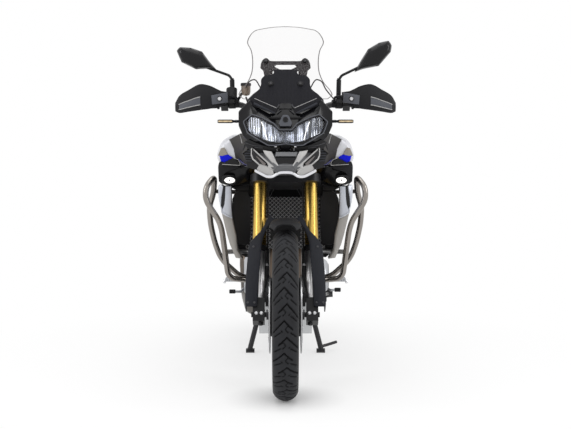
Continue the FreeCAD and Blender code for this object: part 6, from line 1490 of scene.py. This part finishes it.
def swollen(thing, voxel, pressure, reach):
    # An even mesh of the piece, blown up like cloth; place = start + move * min(1, reach / move's length)
    scene = bpy.context.scene
    even = thing.modifiers.new("even mesh", "REMESH")
    even.mode, even.voxel_size = "VOXEL", voxel / metre
    thing.data = bpy.data.meshes.new_from_object(thing.evaluated_get(bpy.context.evaluated_depsgraph_get()))
    thing.modifiers.clear()
    start = np.empty(len(thing.data.vertices) * 3, np.float32)
    thing.data.vertices.foreach_get("co", start)
    cloth = thing.modifiers.new("swell", "CLOTH")
    cloth.settings.use_pressure = True
    cloth.settings.uniform_pressure_force = pressure
    cloth.settings.effector_weights.gravity = 0
    for step in range(seatForm["frames"]):
        scene.frame_set(step + 1)
    blown = thing.evaluated_get(bpy.context.evaluated_depsgraph_get()).data
    end = np.empty_like(start)
    blown.vertices.foreach_get("co", end)
    thing.modifiers.clear()
    scene.frame_set(1)
    start, end = start.reshape(-1, 3), end.reshape(-1, 3)
    move = end - start
    long = np.linalg.norm(move, axis=1, keepdims=True)
    end = start + move * np.minimum(1, reach / metre / np.maximum(long, 1e-9))
    thing.data.vertices.foreach_set("co", end.astype(np.float32).ravel())
    thing.data.polygons.foreach_set("use_smooth", np.ones(len(thing.data.polygons), bool))
    thing.data.update()


def cushion(name, rings, node):
    # Starts drawn in towards the middle of each ring, so that it is full size once blown up
    middle = rings.mean(1, keepdims=True)
    small = rings + unit(middle - rings) * seatForm["drawnIn"] * [1, 0.6, 1]
    thing = addPiece(name, skin(small), "cover", instead=node, sharp=180)
    swollen(thing, seatForm["voxel"], seatForm["pressure"], seatForm["reach"])
    subdivided(thing, 1)
    return thing


def laidOn(thing, path, radius):  # a thin line brought down onto a piece's surface
    found = [thing.closest_point_on_mesh(Vector(spot / metre))[1] for spot in path]
    return swept(np.array([list(spot) for spot in found]) * metre, circle(7, radius))


for label, corner, rows in (("rider", 34, (10, 20, 30)), ("pillion", 30, (12, 30))):
    rings = formRings(seatForm[label], corner, 44)
    thing = cushion(label + "_seat_cushion", rings, label + "_seat")
    columns = rings.shape[1]
    edge = columns // 2 + 7
    piping = [laidOn(thing, rings[2:-2, column], seatForm["piping"]) for column in (edge, columns - edge + 4)]
    addPiece(label + "_seat_piping", piping, "greyPlastic")
    cross = [laidOn(thing, rings[row, columns - edge + 4:edge + 1], seatForm["stitch"]) for row in rows]
    addPiece(label + "_seat_seams", cross, "gripRubber")
print("seats made")

# Tail: painted flanks along its sides, the lamp's bars, rack screws and rubber rests
tailForm = {
    "side": [(150, [(118, 816), (142, 800), (150, 752), (136, 712), (118, 720)]),
        (300, [(130, 806), (152, 790), (158, 742), (142, 706), (124, 716)]),
        (520, [(126, 868), (150, 846), (156, 790), (138, 752), (120, 762)]),
        (720, [(112, 896), (132, 872), (136, 832), (122, 806), (106, 812)]),
        (886, [(84, 900), (104, 886), (106, 860), (96, 846), (80, 852)])],
    "lampBars": [(62, 886.5), (62, 861.5)], "rests": [(-40, 800), (40, 800), (-40, 900), (40, 900)],
}
tailRings = through(np.array([at(1, y, roundedOutline(side, 12, 4)) for y, side in tailForm["side"]]), 54)
addPair("tail_skins", rolled(tailRings, 3), "softBlack", sharp=45)
flank = overlay(tailRings, (4, 51), (5, 12), 1.6)
addPair("tail_flanks", flank, "whitePaint", sharp=40)
addPair("tail_flank_stripes", overlay(tailRings, (14, 46), (9, 11), 5), "bluePaint", sharp=40)
bars = [tube([(-half, 922.4, z), (half, 922.4, z)], 1.6, 8) for half, z in tailForm["lampBars"]]
cells = [turned([(6.5, -2), (6.5, 0.6), (5, 1.2), (1, 1.4)], (x, 921.6, 874), (0, 1, 0), 14)
         for x in range(-50, 51, 20)]
addPiece("tail_lamp_cells", joined(*bars, *cells), "red")
rackScrews = [capBolt((x, y, 960), (0, 0, 1), 8) for x in (-62, 62) for y in (834, 924)]
addPiece("rack_screws", rackScrews, "steel")
rest = roundedOutline([(-30, -9), (30, -9), (30, 9), (-30, 9)], 9, 4)
rests = [plate(rest, 5, (x, y, 959.5), (0, 1, 0), (1, 0, 0), 1.5) for x, y in tailForm["rests"]]
addPiece("rack_rests", rests, "gripRubber")
print("tail dressed")


# Engine: cast domes on its round covers with rings and screws, the oil plug, window and filter
engineForm = {  # covers: side, y, z, radius, how far out, number of screws
    "covers": [(-1, -48, 392, 104, 186, 9), (1, -92, 396, 82, 190, 7), (-1, -190, 330, 46, 130, 4)],
    "dome": [(0.93, 0.44), (0.915, 0.62), (0.9, 0.8), (0.86, 0.88), (0.79, 0.94), (0.7, 0.975), (0.6, 1)],
    "half": 92.0, "rise": 0.8,
}
domes, rings, coverScrews = [], [], []
for side, y, z, radius, far, count in engineForm["covers"]:
    deep = far - engineForm["half"]
    profile = [(radius * wide + engineForm["rise"], engineForm["half"] + deep * share + engineForm["rise"])
               for wide, share in engineForm["dome"]]
    low = (profile[0][0] + 3, engineForm["half"] + deep * 0.38)
    inner = [(radius * 0.34, far + 0.8), (radius * 0.3, far - 1.5), (radius * 0.12, far - 1.5),
             (radius * 0.1, far + 1), (2, far + 1)]
    domes.append(turned([low] + profile + inner, (0, y, z), (side, 0, 0), 64))
    boss = engineForm["half"] + deep * 0.35
    coverScrews += [capBolt((side * boss, y + radius * math.cos(a), z + radius * math.sin(a)), (side, 0, 0),
                            7) for a in (np.arange(count) + 0.5) * 2 * np.pi / count]
    rings.append(hoop([(radius * 0.62, far - 0.5), (radius * 0.66, far - 0.5), (radius * 0.66, far + 1.6),
                       (radius * 0.62, far + 1.6)], (0, y, z), (side, 0, 0), 64))
addPiece("engine_cover_domes", domes, "castGrey", sharp=40)
addPiece("engine_cover_rings", rings, "darkCast", sharp=40)
addPiece("engine_cover_screws", coverScrews, "brightBolt")
oilPlug = turned([(15, -2), (15, 5), (13, 7), (9, 7), (9, 13), (7.5, 14), (2, 14)], (-93, 44, 470),
                 (-1, 0, 0), 20)
window = turned([(13, -2), (13, 1.5), (11, 2.4), (10, 1.4), (3, 1.8)], (-93, 60, 330), (-1, 0, 0), 24)
addPiece("oil_filler_plug", oilPlug, "blackPlastic")
addPiece("oil_window", window, "lampGlass")
filterRibs = [hoop([(31, -342 + k * 9), (32.4, -340 + k * 9), (32.4, -337 + k * 9), (31, -335 + k * 9)],
                   (0, 0, 345), (0, 1, 0), 36) for k in range(6)]
addPiece("oil_filter_ribs", filterRibs, "steel")
print("engine dressed")

# Silencer: end caps, a heat shield, straps and the outlet's lip
silencerForm = {
    "low": (-200, 404, 488), "top": (-206, 800, 646),
    "corners": [(0.5, -1), (1, -0.45), (1, 0.45), (0.5, 1), (-0.5, 1), (-1, 0.45), (-1, -0.45), (-0.5, -1)],
    "sizes": [(26, 26), (50, 58), (52, 62), (44, 52), (40, 48)],  # half width and height at canRing's places
}
canLow, canTop = (np.array(silencerForm[end], float) for end in ("low", "top"))
canLong = np.linalg.norm(canTop - canLow)
canWay = unit(canTop - canLow)
canUp = unit(np.cross(canWay, np.array([-1.0, 0, 0])))
canAside = np.cross(canUp, canWay)


def canRing(along, grow):
    # The can's eight-sided section at a distance along it, its corners rounded
    places = [0, 46, canLong - 50, canLong - 8, canLong]
    wide, high = (np.interp(along, places, halves) for halves in zip(*silencerForm["sizes"]))
    flat = roundedOutline(np.array(silencerForm["corners"]) * [wide, high], 16, 4) * (1 + grow / 50)
    return canLow + canWay * along + flat[:, :1] * canAside + flat[:, 1:] * canUp


def canPart(start, end, grow, steps=8):
    rows = [canRing(along, grow) for along in np.linspace(start + 1.5, end - 1.5, steps)]
    return skin(np.array([canRing(start, grow - 1.5), *rows, canRing(end, grow - 1.5)]))


addPiece("silencer_end_caps", joined(canPart(canLong - 58, canLong - 1, 3.2), canPart(2, 50, 2.6)),
         "darkCast")
bands = joined(canPart(canLong - 118, canLong - 98, 3.4, 3), canPart(96, 112, 3.4, 3))
addPiece("silencer_bands", bands, "steel")
shieldRows = np.array([canRing(along, 7.0) for along in np.linspace(120, canLong - 130, 30)])
middleColumn = int(np.argmin(shieldRows[10, :, 0]))
shieldRows = np.roll(shieldRows, shieldRows.shape[1] // 2 - middleColumn, axis=1)
columns = shieldRows.shape[1] // 2
addPiece("silencer_shield", overlay(shieldRows, (0, 30), (columns - 8, columns + 9), 1.2, 1.2),
         "blackPlastic", sharp=40)
shieldOut = -canAside if canAside[0] > 0 else canAside
shieldScrews = [capBolt(canLow + canWay * along + shieldOut * 60, shieldOut, 7)
                for along in (140, canLong - 150)]
addPiece("silencer_screws", shieldScrews, "brightBolt")
lip = hoop([(20.5, -24), (24, -24), (24.5, 3), (23, 5), (21, 4)], canTop, canWay, 32)
addPiece("silencer_outlet", lip, "steel")
print("silencer dressed")

# Shock spring, chain guard, hoses, swingarm adjusters and foot pegs
chassisForm = {
    "shockTop": (0, 226, 508), "shockLow": (0, 240, 306), "springIn": 26.5, "wire": 4.6, "turns": 7.5,
    "coilFrom": 40, "coilLong": 118,
    "overHose": [(150, -424, 678), (150, -400, 673), (104, -372, 640), (86, -330, 632), (86, -286, 638)],
    "underHose": [(-150, -426, 586), (-150, -400, 570), (-140, -340, 480), (-122, -262, 380),
        (-116, -222, 346)],
    "chainGuard": [(250, 472), (420, 480), (620, 486), (700, 470)], "peg": (225, 118, 343),
}
shockTop, shockLow = np.array(chassisForm["shockTop"], float), np.array(chassisForm["shockLow"], float)
shockWay = unit(shockTop - shockLow)
shockSide, shockAcross = across(shockWay)
turn = np.linspace(0, chassisForm["turns"] * 2 * np.pi, 200)
along = chassisForm["coilFrom"] + turn[:, None] / turn[-1] * chassisForm["coilLong"]
coilPath = shockLow + shockWay * along + chassisForm["springIn"] * (
    np.cos(turn)[:, None] * shockSide + np.sin(turn)[:, None] * shockAcross)
addPiece("shock_spring", swept(coilPath, circle(10, chassisForm["wire"])), "bluePaint")
seats = [hoop([(12, h), (33.5, h), (34.5, h + 1.5), (34.5, h + 5), (33.5, h + 6.5), (12, h + 6.5)], shockLow,
              shockWay, 36) for h in (31, 160)]
addPiece("shock_spring_seats", seats, "darkCast")
hoses = [tube(bent(chassisForm[name], 20, 6), 12.2, 16) for name in ("overHose", "underHose")]
clamps = []
for name in ("overHose", "underHose"):
    line = np.array(chassisForm[name], float)
    for k, share in ((0, 0.5), (-2, 0.7)):
        first, second = line[k], line[k + 1]
        clamps.append(hoop([(12.4, -4.5), (13.8, -4.5), (13.8, 4.5), (12.4, 4.5)],
                           first + (second - first) * share, second - first, 24))
addPiece("coolant_hose_covers", hoses, "gripRubber", sharp=45)
addPiece("coolant_hose_clamps", clamps, "steel")
guardLine = through(np.array([(92.0, y, z) for y, z in chassisForm["chainGuard"]]), 30)
guardSection = roundedOutline([(-11, -2), (11, -2), (11, 16), (9, 16), (9, 0.5), (-9, 0.5), (-9, 8),
                               (-11, 8)], 1.5, 2)
guardRings = guardLine[:, None] + guardSection @ [[1.0, 0, 0], [0, 0, -1.0]]
addPiece("chain_guard", skin(guardRings), "blackPlastic", sharp=40)
guardFeet = [tube([(92, y, z), (80, y + 4, z - 38), (74, y + 6, z - 60)], 5, 10, 8)
             for y, z in ((420, 480), (620, 486))]
addPiece("chain_guard_brackets", guardFeet, "blackPlastic")
adjusters = [hexNut((side * 120, 780.5, 336), (0, 1, 0), 12) for side in (1, -1)]
addPiece("chain_adjusters", adjusters, "brightBolt")
pegX, pegY, pegZ = chassisForm["peg"]
pegTeeth = [turned([(4.5, -2), (4.5, 3), (3, 6.5), (1, 6.5)], (pegX + k * 11.5, pegY + row * 13, pegZ + 6.5),
                   (0, 0, 1), 8) for k in range(-4, 5) for row in (-1, 1)]
pegRubber = plate(roundedOutline([(-50, -10), (50, -10), (50, 10), (-50, 10)], 4, 3), 5,
                  (pegX, pegY, pegZ + 6), (1, 0, 0), (0, 1, 0), 1.5)
tip = turned([(8, -3), (9.5, 0), (9.5, 6), (8, 9), (4, 10.5), (1, 11)], (pegX + 56, pegY, pegZ - 1),
             (1, 0, 0), 18)
addPair("peg_rubbers", pegRubber, "gripRubber")
addPair("peg_teeth", pegTeeth, "darkCast")
addPair("peg_tips", tip, "brightBolt")
leverTips = [turned([(7.5, -14), (9.5, -12), (9.5, 12), (7.5, 14)], place, (1, 0, 0), 18)
             for place in ((236, -33, 324), (-240, -45, 318))]
addPiece("lever_tips", leverTips, "gripRubber")
print("chassis dressed")

# Cockpit: the instrument's face and the screen in it
cockpit = {
    "leanDegrees": -28.0, "out": 13.2, "screen": [(-68, -34), (68, -34), (68, 38), (-68, 38)],
    "face": [(-84, -46), (84, -46), (88, -20), (88, 34), (78, 48), (-78, 48), (-88, 34), (-88, -20)],
}
lean = math.radians(cockpit["leanDegrees"])
dashUp = np.array([0, -math.sin(lean), math.cos(lean)])
dashOut = np.array([0, math.cos(lean), math.sin(lean)])
faceAt = np.add(*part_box("instrument")) / 2 * metre + dashOut * cockpit["out"]
face, screen = roundedOutline(cockpit["face"], 12), roundedOutline(cockpit["screen"], 8)
addPiece("instrument_face", plate(face, 3, faceAt + dashOut * 3, (1, 0, 0), dashUp, 1.5), "lampGlass")
addPiece("instrument_screen", plate(screen, 1.6, faceAt + dashOut * 6.4, (1, 0, 0), dashUp, 0.6),
         "glossBlack")
print("cockpit dressed")


# Stage: a white floor that runs out into the world, and three soft lamps
stage = {
    "floorSize": 60.0, "shadowDepth": 0.4, "shadowReach": (0.5, 1.6), "contactDepth": 0.9,
    "contactReach": (0.05, 0.25), "worldLight": 0.75,
    "lamps": [("overhead", (0, -0.6, 4.2), (0, 0, 0.6), (3.2, 4.5), 70),
        ("leftWindow", (3.6, -2.4, 2.2), (0, -0.2, 0.7), (1.2, 2.6), 42),
        ("rightWindow", (-3.6, -2.4, 2.2), (0, -0.2, 0.7), (1.2, 2.6), 42)],
}


def whiteWhenSeen(g):
    # 1 for the camera, gloss and glass, so that they see plain white
    total = g.add("ShaderNodeLightPath", output="Is Camera Ray")
    rays = total.socket.node.outputs
    for name in ("Is Glossy Ray", "Is Transmission Ray"):
        total = g.add("ShaderNodeMath", {"operation": "ADD", "use_clamp": True},
                      (total, Value(g, rays[name])))
    return total


def makeStage():
    bpy.context.scene.world = bpy.data.worlds.new("studio")
    g = Graph("studio", bpy.context.scene.world)
    level = whiteWhenSeen(g).between(0.0, 1.0, stage["worldLight"], "LINEAR")
    back = g.add("ShaderNodeBackground", None, {"Color": (1, 1, 1), "Strength": level})
    g.add("ShaderNodeOutputWorld", None, (back,))

    half = stage["floorSize"] / 2
    mesh = bpy.data.meshes.new("floor")
    mesh.from_pydata([(-half, -half, 0), (half, -half, 0), (half, half, 0), (-half, half, 0)], [],
                     [(0, 1, 2, 3)])
    floor = bpy.data.objects.new("floor", mesh)
    bpy.context.scene.collection.objects.link(floor)
    # The floor's own shade shows near the middle, and more so round the front tyre's contact
    g = Graph("floor_white")
    seen = whiteWhenSeen(g)
    for middle, reach, depth in (((0, 0, 0), stage["shadowReach"], stage["shadowDepth"]),
                                 ((0, frontAxle[1] / metre, 0), stage["contactReach"],
                                  stage["contactDepth"])):
        distance = g.add("ShaderNodeVectorMath", {"operation": "DISTANCE"}, (g.place, middle), "Value")
        seen = seen * distance.between(*reach, 1 - depth, "LINEAR")
    paint = g.add("ShaderNodeBsdfDiffuse", None, {"Color": (0.9, 0.9, 0.9)})
    light = g.add("ShaderNodeEmission", None, {"Color": (1, 1, 1)})
    g.add("ShaderNodeOutputMaterial", None, (g.add("ShaderNodeMixShader", None, (seen, paint, light)),))
    mesh.materials.append(g.owner)


makeStage()
for name, place, target, size, power in stage["lamps"]:
    lamp = bpy.data.lights.new(name, "AREA")
    lamp.shape, lamp.energy = "RECTANGLE", power
    lamp.size, lamp.size_y = size
    thing = bpy.data.objects.new(name, lamp)
    bpy.context.scene.collection.objects.link(thing)
    thing.location = place
    thing.rotation_euler = (Vector(target) - Vector(place)).to_track_quat("-Z", "Y").to_euler()

camera = bpy.data.objects.new("camera", bpy.data.cameras.new("camera"))
camera.data.lens = cameraFit["lens"]
camera.data.sensor_width = cameraFit["sensor"]
camera.location = cameraFit["place"]
camera.rotation_euler = (math.radians(90 - cameraFit["downDegrees"]), 0, 0)
bpy.context.scene.collection.objects.link(camera)
bpy.context.scene.camera = camera
bpy.context.scene.view_settings.view_transform = "Standard"
print("stage, lamps and camera made")
